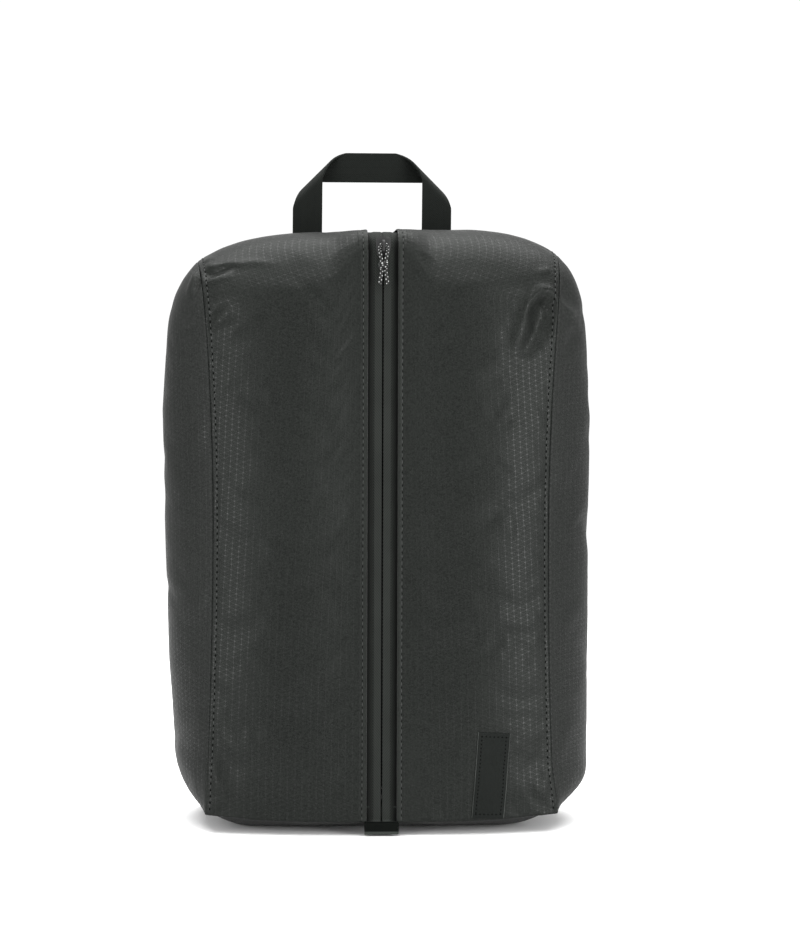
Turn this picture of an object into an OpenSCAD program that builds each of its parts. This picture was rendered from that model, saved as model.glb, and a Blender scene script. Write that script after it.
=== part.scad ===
// Shoe bag: a soft upright bag for one pair of shoes. A zip runs up the middle of the front and
// over the top, a webbing handle stands on the back seam of the top and a folded tab hangs under the zip.
// Frame: X to the right, Y to the back, Z up. The flat of the base lies on Z = 0 under the middle.

/* [Body] */
// Height of the front panels over the floor, at their crest
body_h = 374; // [340:1:410]
// Width of the front between the side seams, at mid-height
front_w = 211; // [195:1:230]
// How far each side gusset swells past its seams
gusset_swell = 29; // [20:0.5:38]
// How far each side seam spreads from mid-height to its foot
foot_flare = 5; // [0:0.5:8]
// How far each side seam spreads from mid-height to its top
top_flare = 10; // [0:0.5:12]
// Depth between the front and back seams of the base, at the middle
base_d = 130; // [115:1:150]
// Distance of the back top seam behind the middle
top_back = 54; // [48:1:62]
// How far the front rounds back from the zip to the side seams
front_crown = 12; // [6:1:18]
// How far the back rounds forward from its middle to the side seams
back_crown = 10; // [4:1:16]
// How far each front panel swells between the zip and its side seam
front_swell = 4; // [0:0.5:8]
// How far the back swells between its top and bottom seams
back_swell = 6; // [0:0.5:12]
// Height over which each gusset swells from the base seam to its middle
gusset_foot_h = 58; // [45:1:70]
// Height over which each gusset swells from the top seam to its middle
gusset_top_h = 52; // [40:1:65]
// Thickness of the coated shell fabric with its seam allowances
fabric_t = 1.2; // [0.8:0.1:2]

/* [Base] */
// Height of the base seams over the floor, at the middle
seam_rise = 9; // [7:0.5:14]
// How much higher the base seams run at the corners
corner_rise = 3; // [0:0.5:6]
// Width of the flat that the bag stands on
foot_w = 160; // [120:1:180]
// Reach of that flat in front of the middle
foot_front = 20; // [10:1:35]
// Reach of that flat behind the middle
foot_back = 44; // [25:1:50]
// Rounding of the edges of that flat
foot_bow = 6; // [3:0.5:10]

/* [Top] */
// Backward lean of the front along the zip, in degrees
zip_lean = 4.75; // [3.5:0.25:6]
// Backward lean of the front panels beside the zip, in degrees
panel_lean = 4; // [3:0.25:5]
// Radius of the top fold at the zip
zip_fold_r = 14; // [12:0.5:20]
// Radius of the top fold of the front panels
panel_fold_r = 40; // [30:1:50]
// Downward slope of the top towards the back, in degrees
top_slope = 7; // [3:0.5:11]
// How much lower the top runs at the side seams
top_drop = 17; // [8:1:24]
// How far the stiff end of the zip stands over the front panels
zip_stand = 2.5; // [0:0.5:5]

/* [Zip] */
// Width of tape that shows between the two flaps
zip_gap = 15.5; // [12:0.5:20]
// Width of each half of the tape
tape_w = 15.5; // [13:0.5:18]
// Thickness of the tape
tape_t = 0.7; // [0.5:0.1:1]
// Width of each coil
coil_w = 3; // [2.4:0.1:3.6]
// Thickness of each coil
coil_t = 2; // [1.6:0.1:2.4]
// Spacing of the coil's turns
coil_pitch = 2.4; // [1.8:0.1:3.2]
// Length of the heads of the turns
head_l = 1.1; // [0.8:0.1:1.3]
// Slot between the two coils
zip_slot = 1; // [0.9:0.1:1.4]
// Height of the lower end of the coils over the front seam of the base
chain_foot = 14; // [13:0.5:20]
// Length of the stops at the ends of the coils
stop_l = 2.5; // [2:0.1:3.5]

/* [Slider] */
// Length of the slider
slider_l = 12; // [10:0.5:14]
// Width of the slider at its nose
slider_w = 9; // [8.8:0.1:10.5]
// Width of the slider at its tail
slider_tail_w = 7.4; // [6.5:0.1:8.5]
// Thickness of the slider's two plates
plate_t = 1.2; // [0.9:0.1:1.5]
// Height of the slider's nose over the lower plate's nose
nose_set = 3.5; // [3:0.1:5]
// Thickness of the side flanges
flange_t = 0.9; // [0.6:0.1:1.2]
// Thickness of the wedge between the plates
wedge_t = 0.5; // [0.4:0.05:0.6]
// Length of the wedge
wedge_l = 2; // [1.5:0.1:2.5]
// Length of the bail
bail_l = 8; // [7.5:0.1:9]
// Width of the bail
bail_w = 1.8; // [1.4:0.1:2]
// Thickness of the bail
bail_t = 1.2; // [0.9:0.1:1.4]
// Height of the eye under the bail
eye_h = 2.8; // [2.7:0.1:3.4]
// How far the middle of the slider runs past the start of the top fold
slider_past = 3; // [2:0.5:4]

/* [Cord pull] */
// Diameter of the pull's cord
cord_d = 2.2; // [1.8:0.1:2.3]
// Outer diameter of the knot
knot_d = 6.2; // [5.5:0.1:7]
// Number of wraps in the knot
knot_wraps = 3; // [2:1:3]

/* [Handle] */
// Width of the webbing
webbing_w = 19; // [15:0.5:25]
// Thickness of the webbing
webbing_t = 1.4; // [1:0.1:1.8]
// Spacing of the two legs of the handle
handle_span = 83; // [70:1:100]
// Height of the handle over the crest of the front panels
handle_rise = 47.5; // [44:0.5:65]
// Depth radius of the soft corner folds
corner_fold_r = 7; // [4:0.5:9]
// Reach of the soft corner folds towards the outer corners
corner_reach = 3; // [2:0.5:6]
// Length of the webbing ends inside the bag
handle_end_l = 25; // [15:1:35]

/* [Tab and label] */
// Width of the tab under the zip
tab_w = 21.5; // [16:0.5:26]
// Thickness of each layer of the folded tab
tab_layer_t = 1.3; // [1:0.1:1.5]
// Height of the lower end of the tab over the floor
tab_floor = 1; // [0.5:0.5:3]
// Width of the plain label
label_w = 20.5; // [14:0.5:26]
// Height of the plain label
label_h = 54; // [35:1:70]
// Thickness of the label
label_t = 0.6; // [0.4:0.1:1]
// Distance of the foot of the label from the zip, at its middle
label_x = 66.5; // [55:0.5:80]
// Lean of the label away from the zip, in degrees
label_lean = 4; // [0:0.5:8]

/* [Seam bindings] */
// Width of the tape that binds the inner seam edges
binding_w = 9; // [6:0.5:12]
// Thickness of a bound seam edge
binding_t = 2; // [1.5:0.1:2.6]

/* [Clearances] */
// Gap between two panels at a seam
seam_gap = 0.3; // [0.2:0.05:0.5]
// Gap between a flap and the zip tape under it
lay_gap = 0.3; // [0.25:0.05:0.5]
// Running clearance of the slider
run_gap = 0.25; // [0.2:0.05:0.3]
// Gap between the handle's webbing and the top
root_gap = 0.4; // [0.3:0.05:0.6]

/* [Hidden] */
$fn = 48;

// Colours of the finishes
shell_colour = [0.21, 0.225, 0.215];
tape_colour = [0.1, 0.105, 0.1];
webbing_colour = [0.12, 0.125, 0.12];
binding_colour = [0.16, 0.165, 0.16];
metal_colour = [0.08, 0.08, 0.085];
cord_colour = [0.14, 0.14, 0.14];

// Route of the pull's cord from one tail up to the eye, measured from the middle of the eye
pull_half_route = [
    [2.4, -2, -25], [2, -1.8, -22], [1.5, -1.5, -19], [1.2, -1.2, -16], [1.2, -1.2, -13],
    [1.4, -1, -10], [1.9, -0.6, -7], [2.3, -0.2, -4.5], [2.4, 0, -2.5], [1.7, 0, -0.7]
];
// Place on that route where the knot closes the loop
knot_place = 4;
cord_sides = 8;

// Share of each turn of the coil that its head fills, share of the fold where the top stops sit,
// and rounding shares of the slider
head_share = 0.55;
stop_share = 0.55;
nose_round = 0.55;
bail_round = 0.4;

// Steps along and across the panels
front_steps = 8;
fold_steps = 6;
top_steps = 3;
across_steps = 8;
back_steps = 8;
gusset_steps = 4;
side_steps = 3;

// Share of the base's depth left where it sags between its seams and its flat
foot_sag = 0.6;
// Share of the width that the bindings across the bag reach
cross_reach = 0.84;

body_w = front_w + 2 * gusset_swell;
flap_x = zip_gap / 2;
slot_x = zip_slot / 2;
tape_x = slot_x + tape_w;
seam_edge = fabric_t + seam_gap;
fold_end = 90 + top_slope;
mid_h = body_h / 2;

// How sharply the panels round off at their sides, and the shares where they start to
crown_power = 2.2;
shoulder_power = 3.6;
gusset_power = 2.2;
gusset_flat = 0.15;
soft_share = 0.34;

function mix(from, to, share) = from + (to - from) * share;
function unit(v) = v / norm(v);
function limit(value, low, high) = min(max(value, low), high);
function ease(low, high, value) =
    let (share = limit((value - low) / (high - low), 0, 1))
    share * share * (3 - 2 * share);

// Half width of the front at a height: the side seams spread towards the top and the bottom
function seam_x(z) = front_w / 2 + (z < mid_h ? foot_flare : top_flare) * pow((z - mid_h) / mid_h, 2);

// Share of a front panel, from its flap edge to its side seam, at a distance from the middle
function across(x) = limit((abs(x) - flap_x) / (front_w / 2 - flap_x), 0, 1);
flat_share = across(tape_x + lay_gap);

// How far the panel has rounded off, from 0 over the zip tape to 1 at the side seam
function crown(share) = pow(max(0, (share - flat_share) / (1 - flat_share)), crown_power);
function off_zip(share) = ease(flat_share, soft_share, share);
function fall(share) = pow(max(0, (share - flat_share) / (1 - flat_share)), shoulder_power);

// Upright section of a front panel at a share: a leaning front, a top fold and a sloping top, as [y, z]
function foot_y(share) = -base_d / 2 + front_crown * crown(share);
function foot_z(share) = seam_rise + corner_rise * crown(share);
function foot_point(share) = [foot_y(share), foot_z(share)];
function lean(share) = mix(zip_lean, panel_lean, off_zip(share));
function fold_r(share) = mix(zip_fold_r, panel_fold_r, off_zip(share));
function crest_z(share) = body_h + zip_stand * (1 - off_zip(share)) - top_drop * fall(share);
function fold_z(share) = crest_z(share) - fold_r(share);
function fold_y(share) =
    foot_y(share) + (fold_z(share) - foot_z(share)) * tan(lean(share))
    + fold_r(share) / cos(lean(share));
function fold_point(share, angle) =
    [fold_y(share) - fold_r(share) * cos(angle), fold_z(share) + fold_r(share) * sin(angle)];
function top_end(share) =
    let (start = fold_point(share, fold_end), y = top_back - back_crown / 2 * crown(share))
    [y, start[1] - (y - start[0]) * tan(top_slope)];
function swell(share, run) = front_swell * 4 * share * (1 - share) * sin(180 * run);

// Point of that section along its run: 0 to 1 up the front, 1 to 2 round the fold, 2 to 3 along the top
function section(share, run) =
    run <= 1 ? mix(foot_point(share), fold_point(share, lean(share)), run) - [swell(share, run), 0]
    : run <= 2 ? fold_point(share, mix(lean(share), fold_end, run - 1))
    : mix(fold_point(share, fold_end), top_end(share), run - 2);
function front_point(share, run) =
    let (at = section(share, run), edge = section(1, run))
    [mix(flap_x, seam_x(edge[1]), share), at[0], at[1]];

// Back panel: side is -1 to 1 across, run is 0 to 1 upwards
function back_foot_y(share) = base_d / 2 - back_crown * crown(share);
function back_point(side, run) =
    let (
        low_x = side * seam_x(foot_z(1)), high_x = side * seam_x(top_end(1)[1]),
        low_share = across(low_x), high_share = across(high_x),
        low = [low_x, back_foot_y(low_share), foot_z(low_share)],
        high = [high_x, top_end(high_share)[0], top_end(high_share)[1]],
        straight = mix(low, high, run),
        bulge = back_swell * (1 - crown(abs(side))) * sin(180 * run)
    )
    [side * seam_x(straight[2]), straight[1] + bulge, straight[2]];

front_runs = concat(
    [for (i = [0 : front_steps]) i / front_steps],
    [for (i = [1 : fold_steps]) 1 + i / fold_steps],
    [for (i = [1 : top_steps]) 2 + i / top_steps]
);

// Closed loop of the right side seam: up the front, over the top, down the back and along the base
side_seam = concat(
    [for (run = front_runs) front_point(1, run)],
    [for (i = [back_steps - 1 : -1 : 0]) back_point(1, i / back_steps)],
    [for (i = [1 : side_steps]) mix(back_point(1, 0), front_point(1, 0), i / (side_steps + 1))]
);

// Middle line of the gusset, between the front and back seams at a height
spine_low = foot_z(1) + gusset_foot_h;
spine_high = crest_z(1) - gusset_top_h;
function spine(point) =
    let (
        z = limit(point[2], spine_low, spine_high),
        front = mix(foot_y(1), fold_point(1, lean(1))[0], z / body_h),
        back = mix(back_point(1, 0)[1], top_end(1)[0], z / body_h)
    )
    [point[0], (front + back) / 2, z];

// Normal of a grid of points, rows first, with columns that may close
function grid_normal(grid, i, j, closed) =
    let (
        rows = len(grid), columns = len(grid[0]),
        next = closed ? (j + 1) % columns : min(j + 1, columns - 1),
        last = closed ? (j + columns - 1) % columns : max(j - 1, 0)
    )
    unit(cross(grid[min(i + 1, rows - 1)][j] - grid[max(i - 1, 0)][j], grid[i][next] - grid[i][last]));
function lifted(grid, lift, closed) = [
    for (i = [0 : len(grid) - 1]) each [
        for (j = [0 : len(grid[0]) - 1]) grid[i][j] + lift * grid_normal(grid, i, j, closed)
    ]
];

// Two triangles of a cell, clockwise from outside
function cell(a, b, c, d) = [[a, b, c], [a, c, d]];

// Sheet of cloth over an open grid, from one lift to another along the grid's normal
module sheet(grid, low, high) {
    rows = len(grid);
    columns = len(grid[0]);
    count = rows * columns;
    function at(i, j) = i * columns + j;
    outer = [
        for (i = [0 : rows - 2], j = [0 : columns - 2])
            each cell(at(i, j), at(i, j + 1), at(i + 1, j + 1), at(i + 1, j))
    ];
    inner = [for (f = outer) [f[0] + count, f[2] + count, f[1] + count]];
    rim = concat(
        [for (j = [0 : columns - 2]) [at(0, j), at(0, j + 1)]],
        [for (i = [0 : rows - 2]) [at(i, columns - 1), at(i + 1, columns - 1)]],
        [for (j = [columns - 1 : -1 : 1]) [at(rows - 1, j), at(rows - 1, j - 1)]],
        [for (i = [rows - 1 : -1 : 1]) [at(i, 0), at(i - 1, 0)]]
    );
    edge = [for (r = rim) each cell(r[1], r[0], r[0] + count, r[1] + count)];
    polyhedron(concat(lifted(grid, high, false), lifted(grid, low, false)), concat(outer, inner, edge));
}

// Dished sheet of cloth over closed rings, from the seam in to a flat middle that faces one way
module dish(rings, thickness, facing) {
    rows = len(rings);
    columns = len(rings[0]);
    count = rows * columns;
    slopes = [for (i = [0 : rows - 2]) rings[i]];
    sunk = concat(
        lifted(slopes, -thickness, true),
        [for (point = rings[rows - 1]) point - thickness * facing]
    );
    function at(i, j) = i * columns + j % columns;
    outer = [
        for (i = [0 : rows - 2], j = [0 : columns - 1])
            each cell(at(i, j), at(i, j + 1), at(i + 1, j + 1), at(i + 1, j))
    ];
    inner = [for (f = outer) [f[0] + count, f[2] + count, f[1] + count]];
    rim = [for (j = [0 : columns - 1]) [at(0, j), at(0, j + 1)]];
    edge = [for (r = rim) each cell(r[1], r[0], r[0] + count, r[1] + count)];
    middle = [for (j = [0 : columns - 1]) 1 / columns] * rings[rows - 1];
    flat = [for (j = [0 : columns - 1]) [at(rows - 1, j), at(rows - 1, j + 1), 2 * count]];
    back = [for (f = flat) [f[1] + count, f[0] + count, 2 * count + 1]];
    polyhedron(
        concat([for (ring = rings) each ring], sunk, [middle, middle - thickness * facing]),
        concat(outer, inner, edge, flat, back)
    );
}

// Solid through a row of closed sections, which may close into a loop
module skin(sections, loop = false) {
    rows = len(sections);
    columns = len(sections[0]);
    function at(i, j) = (i % rows) * columns + j % columns;
    walls = [
        for (i = [0 : rows - (loop ? 1 : 2)], j = [0 : columns - 1])
            each cell(at(i, j), at(i, j + 1), at(i + 1, j + 1), at(i + 1, j))
    ];
    ends = loop ? [] : [
        [for (j = [columns - 1 : -1 : 0]) at(0, j)],
        [for (j = [0 : columns - 1]) at(rows - 1, j)]
    ];
    polyhedron([for (s = sections) each s], concat(walls, ends));
}

// The right front panel, from the front seam of the base over the top to the back top seam
module front_panel() {
    grid = [for (i = [0 : across_steps]) [for (run = front_runs) front_point(i / across_steps, run)]];
    color(shell_colour) sheet(grid, -fabric_t, 0);
}

module right_front_panel() {
    front_panel();
}

module left_front_panel() {
    mirror([1, 0, 0]) front_panel();
}

// The right gusset, swelling from the side seam to its middle
module side_gusset() {
    rings = [
        for (i = [0 : gusset_steps]) [
            for (point = side_seam)
                let (
                    middle = spine(point),
                    start = 1 - seam_edge / norm(point - middle),
                    share = mix(start, gusset_flat, i / gusset_steps),
                    rise = pow((share - gusset_flat) / (1 - gusset_flat), gusset_power),
                    at = mix(middle, point, share)
                )
                [mix(body_w / 2, point[0], rise), at[1], at[2]]
        ]
    ];
    color(shell_colour) dish(rings, fabric_t, [1, 0, 0]);
}

module right_side_gusset() {
    side_gusset();
}

module left_side_gusset() {
    mirror([1, 0, 0]) side_gusset();
}

module back_panel() {
    back_h = norm(back_point(0, 1) - back_point(0, 0));
    grid = [
        for (i = [0 : back_steps]) [
            for (j = [-across_steps : across_steps])
                back_point(j / across_steps, i / back_steps * (1 - seam_edge / back_h))
        ]
    ];
    color(shell_colour) sheet(grid, -fabric_t, 0);
}

// Corner points of the base seams, at a side from -1 to 1
function base_front(side) =
    let (x = side * seam_x(foot_z(1)), share = across(x))
    [x, foot_y(share) + seam_edge, foot_z(share) - seam_gap];
function base_back(side) =
    let (x = side * seam_x(foot_z(1)), share = across(x))
    [x, back_foot_y(share) - seam_edge, foot_z(share) - seam_gap];

module base_panel() {
    outer = concat(
        [for (j = [-across_steps : across_steps]) base_front(j / across_steps)],
        [for (i = [1 : side_steps]) mix(base_front(1), base_back(1), i / (side_steps + 1))],
        [for (j = [across_steps : -1 : -across_steps]) base_back(j / across_steps)],
        [for (i = [1 : side_steps]) mix(base_back(-1), base_front(-1), i / (side_steps + 1))]
    );
    half_w = seam_x(foot_z(1));
    foot = [
        for (point = outer)
            let (
                side = point[0] / half_w,
                share = (point[1] - base_front(1)[1]) / (base_back(1)[1] - base_front(1)[1]),
                deep = 2 * limit(share, 0, 1) - 1
            )
            [
                side * (foot_w / 2 - foot_bow * deep * deep),
                mix(-foot_front, foot_back, (1 + deep * (1 - side * side * foot_bow / foot_back)) / 2),
                0
            ]
    ];
    halfway = [
        for (j = [0 : len(outer) - 1])
            let (at = (outer[j] + foot[j]) / 2)
            [at[0], at[1], at[2] * foot_sag]
    ];
    color(shell_colour) dish([outer, halfway, foot], fabric_t, [0, 0, -1]);
}

// Frame of the zip: z runs up the front from the seam of the base, y = 0 is the face of the flaps
front_l = norm(fold_point(0, zip_lean) - foot_point(0));
top_l = norm(top_end(0) - fold_point(0, fold_end)) - seam_edge;
zip_bend = fold_end - zip_lean;
tape_y = fabric_t + lay_gap;
coil_y = tape_y + tape_t;
rear_y = coil_y + coil_t + run_gap;
face_y = tape_y - run_gap - plate_t;

module on_front(z = 0) {
    translate([0, foot_y(0), foot_z(0)]) rotate([-zip_lean, 0, 0]) translate([0, 0, z]) children();
}

// The same frame turned part of the way round the top fold
module on_fold(turn) {
    on_front(front_l) translate([0, zip_fold_r, 0]) rotate([-turn, 0, 0])
        translate([0, -zip_fold_r, 0]) children();
}

// Right half of the tape: up the front, round the fold and along the top
module zip_tape() {
    tape_foot = fabric_t;
    color(tape_colour) union() {
        on_front() translate([slot_x, tape_y, tape_foot]) cube([tape_w, tape_t, front_l - tape_foot]);
        on_front(front_l) translate([0, zip_fold_r, 0]) rotate([0, 90, 0]) rotate([0, 0, -90 - zip_bend])
            rotate_extrude(angle = zip_bend)
                translate([zip_fold_r - coil_y, slot_x]) square([tape_t, tape_w]);
        on_fold(zip_bend) translate([slot_x, tape_y, 0]) cube([tape_w, tape_t, top_l]);
    }
}

module right_zip_tape() {
    zip_tape();
}

module left_zip_tape() {
    mirror([1, 0, 0]) zip_tape();
}

// Right coil behind the tape, drawn as a comb of turns whose heads face the slot
module zip_coil(shift) {
    turns = floor((front_l - chain_foot - stop_l) / coil_pitch);
    rail = coil_w - head_l;
    head = coil_pitch * head_share;
    outline = concat(
        [[coil_w, 0], [coil_w, turns * coil_pitch], [coil_w - rail, turns * coil_pitch]],
        [
            for (i = [turns - 1 : -1 : 0])
                let (low = i * coil_pitch + shift)
                each [[head_l, low + head], [0, low + head], [0, low], [head_l, low]]
        ],
        [[coil_w - rail, 0]]
    );
    color(tape_colour) on_front(chain_foot + stop_l) translate([slot_x, coil_y + coil_t, 0])
        rotate([90, 0, 0]) linear_extrude(coil_t) polygon(outline);
}

module right_zip_coil() {
    zip_coil(0);
}

module left_zip_coil() {
    mirror([1, 0, 0]) zip_coil(coil_pitch * (1 - head_share));
}

// Clips past the upper ends of the coils, on the tape where it folds
module zip_top_stops() {
    color(metal_colour) on_fold(zip_bend * stop_share) for (side = [0, 1]) mirror([side, 0, 0])
        translate([slot_x, coil_y + run_gap, -stop_l / 2]) cube([coil_w, coil_t, stop_l]);
}

// Clip across the lower ends of both coils
module zip_bottom_stop() {
    color(metal_colour) on_front(chain_foot) translate([-slot_x - coil_w, coil_y, 0])
        cube([zip_slot + 2 * coil_w, coil_t, stop_l]);
}

// Place of the slider's middle on the zip, at the top of its run
slider_z = front_l + slider_past;

// Plate in the slider's outline, from a back face outwards
module slider_plate(back_y, nose) {
    tail = -slider_l / 2;
    translate([0, back_y, 0]) rotate([90, 0, 0]) linear_extrude(plate_t) intersection() {
        polygon([
            [-slider_tail_w / 2, tail], [slider_tail_w / 2, tail], [slider_w / 2, 0],
            [slider_w / 2, nose], [-slider_w / 2, nose], [-slider_w / 2, 0]
        ]);
        circle(slider_l * nose_round);
    }
}

// Slider at the top of its run: a front plate on the tape, a wedge in the slot and a flanged rear plate
module zip_slider() {
    lower_nose = slider_l / 2 - nose_set;
    channel_x = slot_x + coil_w + run_gap;
    color(metal_colour) on_front(slider_z) union() {
        slider_plate(face_y + plate_t, slider_l / 2);
        slider_plate(rear_y + plate_t, lower_nose);
        translate([-wedge_t / 2, face_y, lower_nose - wedge_l])
            cube([wedge_t, rear_y + plate_t - face_y, wedge_l]);
        for (side = [0, 1]) mirror([side, 0, 0])
            translate([channel_x, coil_y + run_gap, -slider_l / 2 + flange_t])
                cube([flange_t, rear_y + plate_t / 2 - coil_y - run_gap, slider_l / 2 - 2 * flange_t]);
    }
}

// Outline of an arch with two round shoulders, standing on its middle
module arch(length, height, shoulder) {
    intersection() {
        translate([-length / 2, 0]) square([length, height]);
        union() {
            translate([-length / 2, 0]) square([length, height - shoulder]);
            translate([-length / 2 + shoulder, 0]) square([length - 2 * shoulder, height]);
            for (side = [-1, 1])
                translate([side * (length / 2 - shoulder), height - shoulder]) circle(shoulder);
        }
    }
}

// Place of the eye's middle on the zip: the cord lies near the upper end of the bail
eye_z = slider_z + bail_l / 2 - bail_t - cord_d / 2 - run_gap;
eye_y = face_y - eye_h / 2;

module slider_bail() {
    shoulder = eye_h * bail_round;
    color(metal_colour) on_front(slider_z) translate([0, face_y, 0]) rotate([90, 0, 90])
        linear_extrude(bail_w, center = true) rotate(90) difference() {
            arch(bail_l, eye_h + bail_t, shoulder + bail_t);
            arch(bail_l - 2 * bail_t, eye_h, shoulder);
        }
}

// Whole route of the cord, and the ring of points round one of its places
pull_route = concat(
    [for (p = pull_half_route) [-p[0], p[1], p[2]]],
    [[0, 0, 0]],
    [for (i = [len(pull_half_route) - 1 : -1 : 0]) pull_half_route[i]]
);
function cord_ring(route, i) =
    let (
        along = unit(route[min(i + 1, len(route) - 1)] - route[max(i - 1, 0)]),
        side = unit(cross(along, [0, 1, 0])),
        front = cross(side, along)
    )
    [
        for (k = [0 : cord_sides - 1])
            let (angle = -360 * k / cord_sides)
            route[i] + cord_d / 2 * (cos(angle) * side + sin(angle) * front)
    ];

module pull_cord() {
    color(cord_colour) on_front(eye_z) translate([0, eye_y, 0])
        skin([for (i = [0 : len(pull_route) - 1]) cord_ring(pull_route, i)]);
}

// Knot that closes the loop: wraps of cord round a core
module pull_knot() {
    wrap_r = cord_d / 2;
    knot_at = pull_half_route[knot_place];
    color(cord_colour) on_front(eye_z) translate([0, eye_y + knot_at[1], knot_at[2]]) union() {
        cylinder(h = (knot_wraps - 1) * cord_d, r = knot_d / 2 - wrap_r, center = true);
        for (i = [0 : knot_wraps - 1]) translate([0, 0, (i - (knot_wraps - 1) / 2) * cord_d])
            rotate_extrude() translate([knot_d / 2 - wrap_r, 0]) circle(wrap_r);
    }
}

// Root of the handle: the line on the back top seam about which it folds
leg_share = across(handle_span / 2);
root_y = top_end(leg_share)[0] + webbing_t / 2 + root_gap;
root_z = top_end(leg_share)[1] + root_gap;
handle_top = body_h + handle_rise;
bar_z = handle_top - webbing_w / 2 - root_z;
turn_l = PI * corner_fold_r;
leg_l = bar_z - turn_l / sqrt(2);
bar_half_l = handle_span / 2 - turn_l / sqrt(2);
strap_l = 2 * (leg_l + turn_l * sqrt(2) + bar_half_l);

// Point of the left half of the flat strap after it wraps half a turn round a slanting corner.
// along is the distance from the root, aside the distance to the right of the middle of the leg.
function strap_half(along, aside) =
    let (
        reach = (along - leg_l - aside) / sqrt(2),
        shift = (along - leg_l + aside) / sqrt(2),
        angle = limit(reach / corner_fold_r * 180 / PI, 0, 180),
        past = reach - limit(reach, 0, turn_l),
        outward = corner_reach * sin(angle) + past * cos(angle),
        depth = corner_fold_r * (1 - cos(angle))
    )
    [
        (shift - outward) / sqrt(2) - handle_span / 2,
        root_y + depth,
        root_z + leg_l + (shift + outward) / sqrt(2)
    ];
function strap_point(along, aside) =
    along <= strap_l / 2 ? strap_half(along, aside)
    : let (p = strap_half(strap_l - along, aside)) [-p[0], p[1], p[2]];

module handle_loop() {
    strap_steps = 60;
    edge_steps = 4;
    grid = [
        for (i = [0 : strap_steps]) [
            for (j = [0 : edge_steps])
                strap_point(strap_l * i / strap_steps, webbing_w * (j / edge_steps - 1 / 2))
        ]
    ];
    color(webbing_colour) sheet(grid, -webbing_t / 2, webbing_t / 2);
}

// Ends of the webbing inside the bag, sewn down behind the back panel's top
module handle_ends() {
    leg_edge = handle_span / 2 + webbing_w / 2;
    end_z = top_end(across(leg_edge))[1] - seam_edge - handle_end_l;
    back_y = top_end(across(leg_edge))[0] - seam_edge;
    color(webbing_colour) for (side = [-1, 1])
        translate([side * handle_span / 2 - webbing_w / 2, back_y - webbing_t, end_z])
            cube([webbing_w, webbing_t, handle_end_l]);
}

// Folded tab under the zip, closed at its lower end
module bottom_tab() {
    tab_t = 2 * tab_layer_t + seam_gap;
    tab_top = foot_z(0) - seam_gap;
    tab_y = base_front(0)[1] - seam_gap - tab_t / 2;
    color(webbing_colour) translate([-tab_w / 2, tab_y, tab_floor]) rotate([90, 0, 90])
        linear_extrude(tab_w) difference() {
            union() {
                translate([0, tab_t / 2]) circle(tab_t / 2);
                translate([-tab_t / 2, tab_t / 2]) square([tab_t, tab_top - tab_floor - tab_t / 2]);
            }
            translate([-seam_gap / 2, tab_t / 2]) square([seam_gap, tab_top]);
        }
}

// Plain label on the right front panel, standing on the front seam of the base
module front_label() {
    columns = 4;
    rows = 4;
    label_share = across(label_x);
    panel_l = norm(fold_point(label_share, lean(label_share)) - foot_point(label_share));
    lift = label_w / 2 * sin(label_lean);
    function label_point(side, rise) =
        let (
            x = label_x + side * cos(label_lean) + rise * sin(label_lean),
            run = (rise * cos(label_lean) - side * sin(label_lean) + lift) / panel_l,
            edge = section(1, run)[1],
            at = section((x - flap_x) / (seam_x(edge) - flap_x), run)
        )
        [x, at[0], at[1]];
    grid = [
        for (i = [0 : columns])
            [for (j = [0 : rows]) label_point(label_w * (i / columns - 1 / 2), label_h * j / rows)]
    ];
    color(tape_colour) sheet(grid, seam_gap, seam_gap + label_t);
}

// Bound edge of a side seam inside the bag, a flat tape that runs round the gusset
module seam_binding() {
    sections = [
        for (point = side_seam)
            let (
                inward = unit(spine(point) - point),
                near = point + inward * (2 * seam_edge) - [seam_edge, 0, 0],
                far = near + inward * binding_w
            )
            [near, far, far - [binding_t, 0, 0], near - [binding_t, 0, 0]]
    ];
    color(binding_colour) skin(sections, true);
}

module right_seam_binding() {
    seam_binding();
}

module left_seam_binding() {
    mirror([1, 0, 0]) seam_binding();
}

// Flat tape across the bag: upright at a place given across the width
module cross_binding(places) {
    sections = [
        for (p = places)
            [p, p + [0, binding_t, 0], p + [0, binding_t, binding_w], p + [0, 0, binding_w]]
    ];
    color(binding_colour) skin(sections);
}

cross_sides = [for (j = [-across_steps : across_steps]) cross_reach * j / across_steps];

module top_seam_binding() {
    drop = 2 * seam_edge + tape_t + binding_w;
    cross_binding([
        for (side = cross_sides)
            let (x = side * front_w / 2, at = top_end(across(x)))
            [x, at[0] - 2 * seam_edge - webbing_t - binding_t, at[1] - drop]
    ]);
}

module front_base_binding() {
    cross_binding([
        for (side = cross_sides)
            let (x = side * front_w / 2, share = across(x))
            [x, foot_y(share) + 2 * seam_edge + tape_t, foot_z(share) + seam_edge / 2]
    ]);
}

module back_base_binding() {
    cross_binding([
        for (side = cross_sides)
            let (x = side * front_w / 2, share = across(x))
            [x, back_foot_y(share) - 2 * seam_edge - binding_t, foot_z(share) + seam_edge / 2]
    ]);
}

left_front_panel();
right_front_panel();
left_side_gusset();
right_side_gusset();
back_panel();
base_panel();
left_zip_tape();
right_zip_tape();
left_zip_coil();
right_zip_coil();
zip_top_stops();
zip_bottom_stop();
zip_slider();
slider_bail();
pull_cord();
pull_knot();
handle_loop();
handle_ends();
bottom_tab();
front_label();
left_seam_binding();
right_seam_binding();
top_seam_binding();
front_base_binding();
back_base_binding();
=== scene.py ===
# Shoe bag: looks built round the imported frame, in metres. X is right, Y is back and Z is up.
import math
from functools import partialmethod

import bmesh
import bpy
import numpy as np
from mathutils import Matrix, Vector


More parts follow.
